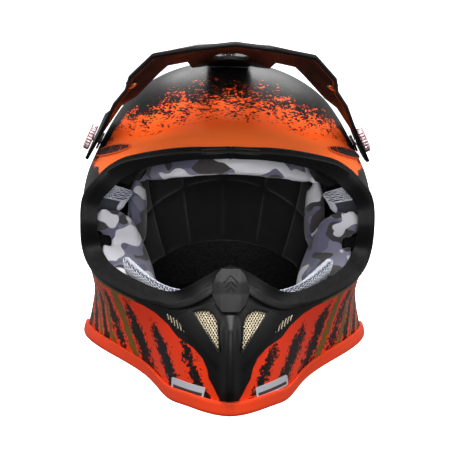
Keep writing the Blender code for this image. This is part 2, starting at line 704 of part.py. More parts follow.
# (x, y, z) in mm from the head's centre; None takes the height from the crown arc
PEAK_ROWS = [
    [(0, -234, 297), (30, -230.5, 293.3), (62, -215, 287)],
    [(0, -190, 294.8), (28, -187, 293.3), (56, -181, 285.5), (81, -175, 268)],
    [(0, -150, 291), (24, -148, 289.5), (51, -145, 281), (85, -145, 256)],
    [(0, -128, 288), (20, -128, 286), (37, -131, 279.5), (53, -127, 276), (61, -121, 268.5),
     (79, -108, 249.5), (96, -112, 242)],
    [(0, -98, 281), (20, -99, 278.5), (33, -102, 273.5)],
    [(0, -62, 277), (16, -62, 275.8), (25, -63, 272.5)],
    [(0, -36, None), (12, -36, None), (20, -36, None)],
    [(0, -24, None), (12, -24, None), (20, -24, None)],
    [(0, -12, None), (12, -12, None), (20, -12, None)],
    [(0, 0, None), (12, 0, None), (20, 0, None)],
    [(0, 10, None), (11, 10, None), (16, 10, None)],
]
# upper and lower edge of an arm, from the plate back; None takes x from the plane square to the screw
PEAK_ARM = [
    [(79, -108, 249.5), (96, -112, 242)],
    [(93, -71, 238.5), (109.4, -71, 214)],
    [(None, -32, 227), (None, -30, 188)],
    [(None, -8, 222), (None, -8, 188)],
    [(None, 8, 217), (None, 10, 191.5)],
    [(None, 17, 209), (None, 18, 199)],
]


def arm_plane(z):
    """x, in mm, of an arm's outer face at this height in mm."""
    return PIVOT_X / MM - math.tan(ARM_TILT) * (z - PIVOT_Z / MM)


def make_peak():
    bm = bmesh.new()
    found = {}

    def vert(point):
        x, y, z = point
        height = crown_arc(PEAK_TOP, y * MM) if z is None else z * MM
        key = (round(x, 3), round(y, 3), round(height, 6))
        if key not in found:
            found[key] = bm.verts.new((x * MM, y * MM + HEAD_Y, height))
        return found[key]

    def mirrored(point):
        return (-point[0], point[1], point[2])

    def settled(point):
        return (arm_plane(point[2]), point[1], point[2]) if point[0] is None else point

    def panel(*points):
        bm.faces.new([vert(p) for p in points])
        bm.faces.new([vert(mirrored(p)) for p in reversed(points)])

    rows = PEAK_ROWS
    for first, second in zip(rows, rows[1:]):
        for k in range(min(len(first), len(second), 3) - 1):
            panel(first[k], second[k], second[k + 1], first[k + 1])
    panel(rows[0][2], rows[1][2], rows[1][3])
    panel(rows[1][2], rows[2][3], rows[1][3])
    panel(rows[1][2], rows[2][2], rows[2][3])
    panel(rows[2][2], rows[3][2], rows[3][3], rows[2][3])
    panel(rows[2][3], rows[3][3], rows[3][4])
    panel(rows[2][3], rows[3][4], rows[3][5])
    panel(rows[2][3], rows[3][5], rows[3][6])
    arm = [[settled(point) for point in pair] for pair in PEAK_ARM]
    for (a, b), (c, d) in zip(arm, arm[1:]):
        panel(a, c, d, b)
    bmesh.ops.recalc_face_normals(bm, faces=bm.faces)
    if sum(face.normal.z for face in bm.faces) < 0:
        bmesh.ops.reverse_faces(bm, faces=bm.faces)
    mesh = bpy.data.meshes.new("peak")
    place = Matrix.Translation((0, PIVOT_Y + HEAD_Y, PIVOT_Z))
    bm.transform(place.inverted())
    bm.to_mesh(mesh)
    bm.free()
    peak = bpy.data.objects.new("peak", mesh)
    peak.matrix_world = place
    bpy.context.scene.collection.objects.link(peak)
    mesh.materials.append(material("black_plastic"))
    wall = peak.modifiers.new("Wall", "SOLIDIFY")
    wall.thickness = PEAK_WALL
    wall.offset = -1
    wall.use_even_offset = True
    wall.use_quality_normals = True
    # the air hole
    hole = [(14.6 * math.cos(a) * MM, 13.5 * math.sin(a) * MM) for a in np.arange(20) / 20 * 2 * math.pi]
    hole = [(math.copysign(abs(x / MM / 14.6) ** 0.7 * 14.6 * MM, x), z) for x, z in hole]
    upright = Matrix.Translation((0, HEAD_Y - 113 * MM, 280 * MM)) @ Matrix.Rotation(math.pi / 2, 4, "X")
    cut(peak, prism("air_hole_cutter", hole, upright, 20 * MM))
    # the slot of the crown screw
    place = crown_screw_place()
    reach, side = TILT_SLOT / 2, SHANK_RADIUS + 0.5 * MM
    turn = np.linspace(-math.pi / 2, math.pi / 2, 7)
    front = [(side * math.sin(a), reach + side * math.cos(a)) for a in turn]
    slot = front + [(-x, -z) for x, z in front]
    tip = place @ Matrix.Rotation(-math.pi / 2, 4, "X")
    cut(peak, prism("tilt_slot_cutter", slot, tip, 9 * MM))
    return peak


def crown_screw_place():
    """A frame at the top of the tongue, on the crown screw's axis, +z outwards."""
    radial = Vector((0, CROWN_SCREW_BACK - PIVOT_Y, 0))
    radial.z = math.sqrt(PEAK_TOP**2 - radial.y**2)
    centre = Vector((0, HEAD_Y + PIVOT_Y, PIVOT_Z))
    return aim(centre + radial, radial)


def side_screw_place(sign):
    """A frame where the peak's axis leaves the arm, +z outwards along the screw."""
    out = Vector((sign * math.cos(ARM_TILT), 0, math.sin(ARM_TILT)))
    return aim(Vector((sign * PIVOT_X, HEAD_Y + PIVOT_Y, PIVOT_Z)), out)


def fitted_boss(name, colour, place, radius, top, hole, phi, t, segments=24):
    """A ring whose top is flat and whose foot follows the skin."""
    angles = np.arange(segments) / segments * 2 * math.pi
    direction = np.array((place.to_3x3() @ Vector((0, 0, 1)))[:])
    rings = []
    for r in (hole, radius):
        flat = np.array([(place @ Vector((r * math.cos(a), r * math.sin(a), top)))[:] for a in angles])
        foot = strike(flat, direction, phi, t, -FIT_GAP)
        rings.append((flat, foot))
    section = np.stack([rings[0][0], rings[1][0], rings[1][1], rings[0][1]], axis=1)
    return loft(name, section, colour, closed=True)


def make_peak_mounts():
    peak = bpy.data.objects["peak"]
    shell = bpy.data.objects["outer_shell"]
    foam = bpy.data.objects["crown_impact_foam"]
    r, h = SIDE_SCREW_RADIUS, SIDE_SCREW_HEAD
    for side, sign in (("left", 1), ("right", -1)):
        place = side_screw_place(sign)
        lift = SCREW_LIFT
        head = [(0, -SCREW_REACH), (SHANK_RADIUS, -SCREW_REACH), (SHANK_RADIUS, lift), (r * 0.92, lift),
                (r, lift + 1 * MM), (r, lift + h - 1 * MM), (r * 0.88, lift + h), (0, lift + h)]
        turned(f"side_screw_{side}", head, place, "pink_alloy", 24)
        cut(peak, drill(f"arm_hole_{side}", place, SHANK_RADIUS + SHANK_CLEARANCE, -8 * MM, 4 * MM))
        fitted_boss(f"side_boss_{side}", "black_plastic", place, 8 * MM, -PEAK_WALL - 1.6 * MM,
                    SHANK_RADIUS + FIT_GAP, sign * 1.45, 0.42)
        cut(shell, drill(f"side_hole_{side}", place, SHANK_RADIUS + FIT_GAP, -22 * MM, -4 * MM))
        pocket = [(SHANK_RADIUS + FIT_GAP, -SCREW_REACH - 1 * MM), (6 * MM, -SCREW_REACH - 1 * MM),
                  (6 * MM, -SCREW_REACH + 5 * MM), (SHANK_RADIUS + FIT_GAP, -SCREW_REACH + 5 * MM)]
        ring(f"side_insert_{side}", pocket, place, "brass")
        cut(foam, drill(f"side_pocket_{side}", place, 6 * MM + FIT_GAP, -SCREW_REACH - 1.5 * MM, 0))
    place = crown_screw_place()
    c, k = CROWN_SCREW_RADIUS, CROWN_SCREW_HEAD
    lift = FIT_GAP
    head = [(0, -CROWN_SCREW_REACH), (SHANK_RADIUS, -CROWN_SCREW_REACH), (SHANK_RADIUS, lift), (c, lift),
            (c, lift + k * 0.6), (c * 0.8, lift + k), (0, lift + k)]
    turned("crown_screw", head, place, "pink_alloy", 20)
    cut(shell, drill("crown_hole", place, SHANK_RADIUS + FIT_GAP, -20 * MM, 0))
    pocket = [(SHANK_RADIUS + FIT_GAP, -CROWN_SCREW_REACH - 1 * MM), (6 * MM, -CROWN_SCREW_REACH - 1 * MM),
              (6 * MM, -CROWN_SCREW_REACH + 4 * MM), (SHANK_RADIUS + FIT_GAP, -CROWN_SCREW_REACH + 4 * MM)]
    ring("crown_insert", pocket, place, "brass")
    cut(foam, drill("crown_pocket", place, 6 * MM + FIT_GAP, -CROWN_SCREW_REACH - 1.5 * MM, 0))
    make_crown_seat(place)
    for side, sign in (("left", 1), ("right", -1)):
        spot, out = panel_point(sign)
        rivet = aim(spot, out)
        wall = PEAK_WALL + FIT_GAP
        spool = [(0, -wall - 1.4 * MM), (4 * MM, -wall - 1.2 * MM), (4 * MM, -wall), (1.8 * MM, -wall),
                 (1.8 * MM, FIT_GAP), (4 * MM, FIT_GAP), (3.4 * MM, 1.5 * MM), (0, 1.7 * MM)]
        turned(f"peak_rivet_{side}", spool, rivet, "brass", 12)
        cut(peak, drill(f"rivet_hole_{side}", rivet, 1.8 * MM + FIT_GAP, -8 * MM, 4 * MM))


def panel_point(sign):
    """A point near the side panel's lower corner, and the panel's outward normal."""
    a, b, c = (np.array(p, float) * MM for p in (PEAK_ROWS[1][2], PEAK_ROWS[1][3], PEAK_ROWS[2][3]))
    spot = 0.12 * a + 0.2 * b + 0.68 * c
    normal = np.cross(b - a, c - a)
    normal *= math.copysign(1 / np.linalg.norm(normal), normal[2])
    mirror = np.array([sign, 1, 1])
    return Vector(spot * mirror) + Vector((0, HEAD_Y, 0)), Vector(normal * mirror)


def ring(name, outline, place, colour, segments=24):
    """A ring: the closed outline of (radius, height) turned about place's z."""
    angles = np.arange(segments) / segments * 2 * math.pi
    section = [[place @ Vector((r * math.cos(a), r * math.sin(a), h)) for r, h in outline] for a in angles]
    return loft(name, section, colour, closed=True, smooth=True)


def make_crown_seat(place):
    """The pad that the peak's tongue slides on."""
    y = np.linspace(-34, 9, 9) * MM
    x = np.linspace(-17, 17, 7) * MM
    top = np.empty((len(y), len(x), 3))
    top[..., 0] = x[None, :]
    top[..., 1] = y[:, None] + HEAD_Y
    top[..., 2] = crown_arc(PEAK_SEAT_RADIUS, y)[:, None]
    foot = strike(top.reshape(-1, 3), (0, 0, 1), 0.3, 0.08, -FIT_GAP * 1.6).reshape(top.shape)
    seat = slab("crown_seat", top, foot, "black_rubber")
    cut(seat, drill("seat_hole", place, SHANK_RADIUS + FIT_GAP, -16 * MM, 4 * MM))


# ---------------------------------------------------------------- chin strap
def ribbon(name, path, width, thick, colour):
    """A flat strap along a path in the xz plane, its width along y."""
    path = np.array(path, float)
    step = np.gradient(path, axis=0)
    normal = np.column_stack([step[:, 2], np.zeros(len(path)), -step[:, 0]])
    normal /= np.linalg.norm(normal, axis=1, keepdims=True)
    half = np.array([0, width / 2, 0])
    edge = normal * thick / 2
    section = np.stack([path - half - edge, path + half - edge, path + half + edge, path - half + edge], axis=1)
    return loft(name, section, colour)


def strap_path(sign, tail):
    """From the plate on the shell down between the shell and the cheek pad, then along tail (mm)."""
    phi = sign * STRAP_PHI
    heights = np.array([66, 57, 49]) * MM
    t = t_at_height(np.full(3, phi), heights, STRAP_INSET)
    down = skin(np.full(3, phi), t, STRAP_INSET)
    rest = np.array([(sign * x * MM, down[-1, 1], z * MM) for x, z in tail])
    path = np.concatenate([down, rest])
    path[:, 1] = down[-1, 1]
    rows = np.column_stack([np.arange(len(path)), path])
    return smooth_through(rows)(np.linspace(0, len(path) - 1, 3 * len(path)))


def stadium(radius, spread, count=10):
    """Outline of two half circles this far apart, in x and z."""
    turn = np.linspace(-math.pi / 2, math.pi / 2, count)
    right = [(spread / 2 + radius * math.cos(a), radius * math.sin(a)) for a in turn]
    return right + [(-x, -z) for x, z in right]


def d_ring(name, centre):
    """A ring of round wire: its straight side lies along y through centre, and it hangs below it."""
    half, depth, corner = RING_HALF, RING_DEPTH, RING_WIRE * 1.6
    bend = [(half - corner * (1 - math.sin(a)), -corner * (1 - math.cos(a)))
            for a in np.linspace(0, math.pi / 2, 4)]
    bow = [(half * math.cos(a) ** 0.8, -corner - (depth - corner) * math.sin(a))
           for a in np.linspace(0.25, math.pi / 2, 6)]
    right = bend + bow
    path = right + [(-y, z) for y, z in reversed(right[:-1])]
    path = np.array(path)
    step = np.roll(path, -1, axis=0) - np.roll(path, 1, axis=0)
    step /= np.linalg.norm(step, axis=1, keepdims=True)
    rings = []
    for (y, z), (along_y, along_z) in zip(path, step):
        ring_points = []
        for a in np.arange(8) / 8 * 2 * math.pi:
            out, aside = RING_WIRE * math.cos(a), RING_WIRE * math.sin(a)
            ring_points.append(centre + Vector((aside, y + out * along_z, z - out * along_y)))
        rings.append(ring_points)
    return loft(name, rings, "steel", closed=True, place=Matrix.Translation(centre))


def make_straps():
    bar = RING_WIRE + FIT_GAP
    top = RING_Z + (bar + STRAP_THICK / 2) / MM
    short = strap_path(1, [(110.8, 40), (110.6, 31), (105, 24.5), (97, 27.5), (RING_X + RING_SPREAD / MM / 2, top)])
    long = strap_path(-1, [(110.8, 40), (110.4, 30), (106, 17), (96, 7.5), (84, 3), (60, 1.6), (35, 1.6), (10, 1.6),
                           (-15, 1.6)])
    strap = ribbon("strap_left", short, STRAP_WIDTH, STRAP_THICK, "webbing")
    ribbon("strap_right", long, STRAP_WIDTH, STRAP_THICK, "webbing")
    middle = Vector((RING_X * MM, short[0, 1], RING_Z * MM))
    place = Matrix.Translation(middle)
    sleeve = prism("strap_loop", stadium(bar + STRAP_THICK, RING_SPREAD), place, STRAP_WIDTH / 2)
    cut(strap, sleeve, operation="UNION")
    cut(strap, prism("strap_loop_hole", stadium(bar, RING_SPREAD), place, STRAP_WIDTH))
    for name, shift in (("d_ring_inner", -1), ("d_ring_outer", 1)):
        d_ring(name, middle + Vector((shift * RING_SPREAD / 2, 0, 0)))
    for side, sign in (("left", 1), ("right", -1)):
        phi = sign * (STRAP_PHI + np.radians(np.linspace(-6.5, 6.5, 4)))
        z = np.linspace(67.5, 82, 3) * MM
        grids = []
        for inset in (SHELL_WALL + FIT_GAP, SHELL_WALL + FIT_GAP + 2.2 * MM):
            grids.append(skin(phi[:, None], t_at_height(np.broadcast_to(phi[:, None], (4, 3)), z, inset), inset))
        slab(f"strap_plate_{side}", grids[0], grids[1], "steel")


# ---------------------------------------------------------------- main
def main():
    clear_scene()
    make_shell()
    make_gasket()
    make_edge_trim()
    make_crown_foam()
    make_chin_foam()
    make_comfort_liner()
    make_pads()
    make_neck_roll()
    make_chin_vent()
    make_nose_guard()
    make_vents()
    make_peak()
    make_peak_mounts()
    make_straps()


main()
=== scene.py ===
"""Motocross helmet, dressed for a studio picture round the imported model.

Metres, +Z up, the wearer looks along -Y and +X is the wearer's left. The shell, its foam, the
pads and the trims are all laid on one skin(phi, t): phi runs round the head from the chin (0) to
the nape (180 degrees), t runs from the crown (0) to the rim (1), and inset goes into the wall.
"""

import math

import bmesh
import bpy
import numpy as np
from mathutils import Matrix, Vector
from mathutils.bvhtree import BVHTree


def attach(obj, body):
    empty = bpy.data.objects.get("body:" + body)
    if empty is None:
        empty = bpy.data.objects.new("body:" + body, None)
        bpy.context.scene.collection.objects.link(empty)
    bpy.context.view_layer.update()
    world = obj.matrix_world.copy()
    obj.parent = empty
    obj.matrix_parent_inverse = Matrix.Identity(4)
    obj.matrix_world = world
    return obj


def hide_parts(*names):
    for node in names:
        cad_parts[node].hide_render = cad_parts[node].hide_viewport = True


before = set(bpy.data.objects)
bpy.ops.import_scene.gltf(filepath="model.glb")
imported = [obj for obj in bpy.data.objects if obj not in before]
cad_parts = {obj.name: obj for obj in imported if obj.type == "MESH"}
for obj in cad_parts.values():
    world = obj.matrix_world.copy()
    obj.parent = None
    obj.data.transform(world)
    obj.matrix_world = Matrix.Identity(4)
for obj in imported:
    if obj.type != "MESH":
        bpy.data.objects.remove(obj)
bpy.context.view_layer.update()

MM = 0.001
HEAD_Y = 43 * MM            # the head's centre line stands this far behind the origin
SHELL_WALL = 3.5 * MM
LAYER_GAP = 1.2 * MM
FIT_GAP = 0.4 * MM
CROWN_EPS, CHIN_EPS, COMFORT = 26 * MM, 15 * MM, 9 * MM
RIM_HEIGHT, RIM_SIDE_RISE = 6 * MM, 24 * MM
TRIM_FACE, TRIM_THICK = 7 * MM, 2.2 * MM
LIP_TOP, LIP_SIDE, LIP_BOTTOM = 5 * MM, 11 * MM, 8 * MM
GASKET_OVERLAP, GASKET_THICK, GASKET_CLEAR = 4 * MM, 2 * MM, 1.7 * MM
PORT_STEPS = 56
FINE = 6                    # fine divisions to each of the port's steps
PIVOT_Z, PIVOT_X = 203 * MM, 117 * MM
ARM_TILT = math.radians(24)
PEAK_WALL, PEAK_SEAT_RADIUS = 3 * MM, 74 * MM
SCREW_RADIUS, SCREW_HEAD, SCREW_LIFT = 12 * MM, 5.5 * MM, 0.9 * MM
CROWN_SCREW_RADIUS, CROWN_SCREW_HEAD, CROWN_SCREW_BACK = 6 * MM, 2.5 * MM, -12 * MM
MATTE_SHINE = 0.28           # specular level of the matte plastics and paint
FLOOR_GLOW = 1.6             # the floor's own light, which keeps it white behind the helmet
FOAM_START = SHELL_WALL + LAYER_GAP * 1.3
PAD_START = SHELL_WALL + 6.5 * MM
CHEEK_CORE, CHEEK_PAD = 16 * MM, 24 * MM
CHEEK_MESH_START, CHEEK_MESH = FOAM_START + CHIN_EPS + LAYER_GAP, 14 * MM
BROW_PAD, SIDE_PAD = 13 * MM, 17 * MM
NECK_START, NECK_ROLL = SHELL_WALL + 6 * MM, 17 * MM
STRAP_WIDTH, STRAP_THICK = 25 * MM, 1.8 * MM
RING_WIRE, RING_HALF, RING_DEPTH, RING_SPREAD = 2 * MM, 15.5 * MM, 19 * MM, 5 * MM
STRAP_PHI, STRAP_INSET = math.radians(93), SHELL_WALL + 3 * MM
RING_X, RING_Z = 86, 27     # mm, where the D-rings hang


# ---------------------------------------------------------------- camera, floor and light
def make_camera():
    target = Vector((0, HEAD_Y, 0.123))
    azimuth, elevation, distance = math.radians(-1.3), math.radians(8), 1.6
    out = Vector((math.sin(azimuth) * math.cos(elevation), -math.cos(azimuth) * math.cos(elevation),
                  math.sin(elevation)))
    lens = bpy.data.cameras.new("studio_camera")
    lens.lens, lens.sensor_width, lens.shift_x = 141.4, 36, 0.0066
    camera = bpy.data.objects.new("studio_camera", lens)
    camera.location = target + out * distance
    camera.rotation_euler = (-out).to_track_quat("-Z", "Y").to_euler()
    camera.rotation_euler.rotate_axis("Z", math.radians(0.7))
    bpy.context.scene.collection.objects.link(camera)
    bpy.context.scene.camera = camera


def make_light(name, place, size, power, look_at=(0, 0.03, 0.13), colour=(1, 1, 1)):
    lamp = bpy.data.lights.new(name, "AREA")
    lamp.shape, lamp.size, lamp.size_y = "RECTANGLE", size[0], size[1]
    lamp.energy, lamp.color = power, colour
    obj = bpy.data.objects.new(name, lamp)
    obj.location = place
    obj.rotation_euler = (Vector(look_at) - Vector(place)).to_track_quat("-Z", "Y").to_euler()
    bpy.context.scene.collection.objects.link(obj)


def make_studio():
    floor_mesh = bpy.data.meshes.new("studio_floor")
    reach = 30
    floor_mesh.from_pydata([(-reach, -reach, 0), (reach, -reach, 0), (reach, reach, 0), (-reach, reach, 0)],
                           [], [(0, 1, 2, 3)])
    floor = bpy.data.objects.new("studio_floor", floor_mesh)
    bpy.context.scene.collection.objects.link(floor)
    white = bpy.data.materials.new("studio_white")
    white.use_nodes = True
    shader = white.node_tree.nodes["Principled BSDF"]
    shader.inputs["Base Color"].default_value = (0.93, 0.93, 0.93, 1)
    shader.inputs["Roughness"].default_value = 0.9
    shader.inputs["Emission Color"].default_value = (1, 1, 1, 1)
    shader.inputs["Emission Strength"].default_value = FLOOR_GLOW
    floor_mesh.materials.append(white)
    floor.visible_diffuse = floor.visible_glossy = False
    world = bpy.data.worlds.new("studio_world")
    world.use_nodes = True
    # bright round the horizon and dim above, so that dark surfaces keep their depth
    sky = Tree(world.node_tree)
    direction = sky.add("ShaderNodeTexCoord").outputs["Generated"]
    facing = sky.add("ShaderNodeSeparateXYZ", {0: direction}).outputs[2]
    level = sky.ramp(sky.math("ABSOLUTE", facing), 0.18, 0.5, 0.38, 0.05)
    sky.tree.links.new(level, world.node_tree.nodes["Background"].inputs["Strength"])
    world.node_tree.nodes["Background"].inputs["Color"].default_value = (1, 1, 1, 1)
    scene = bpy.context.scene
    scene.world = world
    scene.view_settings.view_transform = "Standard"
    make_light("key_above", (0, -0.7, 1.5), (1.2, 0.8), 40)
    make_light("front_fill", (0, -2.4, 0.45), (1.3, 0.7), 22)
    make_light("left_strip", (-1.4, -0.5, 0.6), (0.4, 1.0), 6)
    make_light("right_strip", (1.4, -0.5, 0.6), (0.4, 1.0), 6)
    make_light("back_above", (0.1, 1.4, 1.2), (1.2, 0.7), 12)


# ---------------------------------------------------------------- shader helpers
def shade(red, green, blue):
    """A screen colour, 0 to 255, as the shader's linear one."""
    out = []
    for value in (red, green, blue):
        value /= 255
        out.append(value / 12.92 if value <= 0.04045 else ((value + 0.055) / 1.055) ** 2.4)
    return (*out, 1)


class Tree:
    """A node tree with short calls: add a node, then give each input a value or another socket."""

    def __init__(self, tree):
        self.tree = tree

    def add(self, kind, values=None, **settings):
        node = self.tree.nodes.new(kind)
        for key, value in settings.items():
            setattr(node, key, value)
        for key, value in (values or {}).items():
            socket = node.inputs[key]
            if isinstance(value, bpy.types.NodeSocket):
                self.tree.links.new(value, socket)
            else:
                socket.default_value = value
        return node

    def math(self, operation, a, b=0.0, clamp=False):
        return self.add("ShaderNodeMath", {0: a, 1: b}, operation=operation, use_clamp=clamp).outputs[0]

    def mix(self, share, a, b):
        node = self.add("ShaderNodeMix", {0: share, 6: a, 7: b}, data_type="RGBA")
        return node.outputs[2]

    def ramp(self, value, low, high, to_low=0.0, to_high=1.0):
        node = self.add("ShaderNodeMapRange", {0: value, 1: low, 2: high, 3: to_low, 4: to_high})
        return node.outputs[0]

    def noise(self, place, scale, detail=3.0, roughness=0.5):
        return self.add("ShaderNodeTexNoise", {"Vector": place, "Scale": scale, "Detail": detail,
                                               "Roughness": roughness}).outputs[0]

    def place(self, stretch=(1, 1, 1)):
        where = self.add("ShaderNodeTexCoord").outputs["Object"]
        if stretch == (1, 1, 1):
            return where
        return self.add("ShaderNodeMapping", {"Vector": where, "Scale": stretch}).outputs[0]

    def attribute(self, name):
        return self.add("ShaderNodeAttribute", attribute_name=name).outputs["Fac"]

    def group(self, name, **values):
        node = self.add("ShaderNodeGroup")
        node.node_tree = bpy.data.node_groups[name]
        for key, value in values.items():
            socket = node.inputs[key.replace("_", " ")]
            if isinstance(value, bpy.types.NodeSocket):
                self.tree.links.new(value, socket)
            else:
                socket.default_value = value
        return node.outputs


def new_group(name, inputs, outputs):
    tree = bpy.data.node_groups.new(name, "ShaderNodeTree")
    for key, value in inputs.items():
        socket = tree.interface.new_socket(name=key, in_out="INPUT", socket_type="NodeSocketFloat")
        socket.default_value = value
    for key in outputs:
        tree.interface.new_socket(name=key, in_out="OUTPUT", socket_type="NodeSocketFloat")
    made = Tree(tree)
    return made, made.add("NodeGroupInput").outputs, made.add("NodeGroupOutput").inputs


def make_groups():
    # moulded grain: fine pits over a slow unevenness
    made, given, out = new_group("moulded_grain", {"Scale": 900.0, "Unevenness": 0.3}, ["Height", "Spread"])
    where = made.place()
    fine = made.noise(where, given["Scale"], 2.0)
    slow = made.noise(where, 22.0, 4.0, 0.6)
    made.tree.links.new(made.math("ADD", fine, made.math("MULTIPLY", slow, given["Unevenness"])),
                        out["Height"])
    made.tree.links.new(slow, out["Spread"])
    # handling wear: rubbed patches and hairline scuffs
    made, given, out = new_group("handling_wear", {"Amount": 0.5}, ["Scuff", "Smudge"])
    where = made.place()
    patch = made.noise(where, 9.0, 5.0, 0.65)
    drawn = made.add("ShaderNodeMapping", {"Vector": where, "Scale": (1.0, 1.0, 9.0),
                                           "Rotation": (0.3, 0.5, 0.2)}).outputs[0]
    hair = made.ramp(made.noise(drawn, 150.0, 6.0, 0.75), 0.64, 0.72)
    gate = made.ramp(patch, 0.5, 0.66)
    scuff = made.math("MULTIPLY", made.math("MULTIPLY", hair, gate), given["Amount"], True)
    made.tree.links.new(scuff, out["Scuff"])
    made.tree.links.new(made.math("MULTIPLY", made.ramp(patch, 0.35, 0.7), given["Amount"]), out["Smudge"])
    # settled dust on faces that look up
    made, given, out = new_group("settled_dust", {"Amount": 0.1}, ["Mask"])
    normal = made.add("ShaderNodeNewGeometry").outputs["Normal"]
    up = made.add("ShaderNodeSeparateXYZ", {0: normal}).outputs[2]
    specks = made.ramp(made.noise(made.place(), 260.0, 4.0, 0.7), 0.45, 0.75)
    lying = made.math("MULTIPLY", made.ramp(up, 0.1, 0.9), specks)
    made.tree.links.new(made.math("MULTIPLY", lying, given["Amount"], True), out["Mask"])
    # worn print: a painted field whose edge breaks up into flecks
    made, given, out = new_group("worn_print", {"Field": 0.0, "Reach": 4.0, "Fleck": 240.0, "Flat": 1.0},
                                 ["Mask"])
    where = made.add("ShaderNodeTexCoord").outputs["Object"]
    stretch = made.add("ShaderNodeCombineXYZ", {0: 1.0, 1: 1.0, 2: given["Flat"]}).outputs[0]
    drawn = made.add("ShaderNodeVectorMath", {0: where, 1: stretch}, operation="MULTIPLY").outputs[0]
    coarse = made.math("SUBTRACT", made.noise(drawn, made.math("MULTIPLY", given["Fleck"], 0.28), 2.0), 0.5)
    fine = made.math("SUBTRACT", made.noise(drawn, given["Fleck"], 4.0, 0.7), 0.5)
    rough = made.math("ADD", made.math("MULTIPLY", coarse, 1.5), made.math("MULTIPLY", fine, 3.4))
    edge = made.math("ADD", given["Field"], made.math("MULTIPLY", rough, given["Reach"]))
    made.tree.links.new(made.ramp(edge, -0.12, 0.12), out["Mask"])
    # plain weave, the same on every side of a piece; its Shade output is lower in the weave's hollows and
    # higher on its raised threads, a painted shade and highlight at thread scale, with random fuzz in it
    made, given, out = new_group("plain_weave", {"Thread": 1400.0}, ["Height", "Shade"])
    where = made.place()
    parts = made.add("ShaderNodeSeparateXYZ", {0: where}).outputs
    across = made.math("SINE", made.math("MULTIPLY", made.math("ADD", parts[0], parts[1]), given["Thread"]))
    leaning = made.math("SUBTRACT", parts[2], made.math("MULTIPLY", parts[1], 0.35))
    along = made.math("SINE", made.math("MULTIPLY", leaning, given["Thread"]))
    cloth = made.math("MULTIPLY", across, along)
    fuzz = made.noise(where, 1600.0, 2.0)
    height = made.math("ADD", made.math("MULTIPLY", cloth, 0.5), fuzz)
    made.tree.links.new(height, out["Height"])
    made.tree.links.new(made.ramp(height, 0.0, 1.1, 0.86, 1.05), out["Shade"])


def new_material(name):
    made = bpy.data.materials.new(name)
    made.use_nodes = True
    return made, Tree(made.node_tree), made.node_tree.nodes["Principled BSDF"]


def give(tree, shader, key, value):
    if isinstance(value, bpy.types.NodeSocket):
        tree.tree.links.new(value, shader.inputs[key])
    else:
        shader.inputs[key].default_value = value


def bumped(tree, shader, height, strength, distance):
    bump = tree.add("ShaderNodeBump", {"Height": height, "Strength": strength, "Distance": distance})
    tree.tree.links.new(bump.outputs[0], shader.inputs["Normal"])


def scaled(tree, colour, value):
    """A colour made lighter or darker by a value round 1."""
    parts = tree.add("ShaderNodeCombineXYZ", {0: value, 1: value, 2: value}).outputs[0]
    node = tree.add("ShaderNodeMix", {0: 1.0, 6: colour, 7: parts}, data_type="RGBA", blend_type="MULTIPLY")
    return node.outputs[2]


def moulded(name, colour, worn, roughness, grain=900.0, depth=0.06, metallic=0.0, wear=0.5, dust=0.06,
            coat=0.0):
    """Moulded or painted stock: a grained surface with rubbed patches, scuffs and a little dust."""
    made, tree, shader = new_material(name)
    texture = tree.group("moulded_grain", Scale=grain)
    rubbed = tree.group("handling_wear", Amount=wear)
    dusty = tree.group("settled_dust", Amount=dust)["Mask"]
    base = tree.mix(tree.math("MULTIPLY", rubbed["Smudge"], 0.6), colour, worn)
    base = tree.mix(rubbed["Scuff"], base, worn)
    base = tree.mix(dusty, base, shade(190, 182, 172))
    give(tree, shader, "Base Color", base)
    level = tree.math("ADD", tree.ramp(texture["Spread"], 0.3, 0.7, roughness - 0.05, roughness + 0.06),
                      tree.math("MULTIPLY", rubbed["Scuff"], 0.15))
    give(tree, shader, "Roughness", level)
    shader.inputs["Metallic"].default_value = metallic
    shader.inputs["Specular IOR Level"].default_value = MATTE_SHINE
    shader.inputs["Coat Weight"].default_value = coat
    shader.inputs["Coat Roughness"].default_value = 0.2
    bumped(tree, shader, texture["Height"], depth, 0.0006)
    return made


def fabric(name, colour, darker, thread=1400.0, depth=0.5, sheen=0.25):
    """Woven cloth of one shade."""
    made, tree, shader = new_material(name)
    weave = tree.group("plain_weave", Thread=thread)
    slow = tree.ramp(tree.noise(tree.place(), 35.0, 3.0), 0.35, 0.65)
    # the weave's painted shade in its hollows and painted highlight on its threads
    give(tree, shader, "Base Color", scaled(tree, tree.mix(slow, darker, colour), weave["Shade"]))
    shader.inputs["Roughness"].default_value = 0.92
    shader.inputs["Sheen Weight"].default_value = sheen
    bumped(tree, shader, weave["Height"], depth, 0.0004)
    return made


ORANGE, DEEP_ORANGE = shade(255, 92, 24), shade(240, 60, 16)
PAINT_BLACK, OLIVE = shade(10, 10, 11), shade(122, 88, 22)


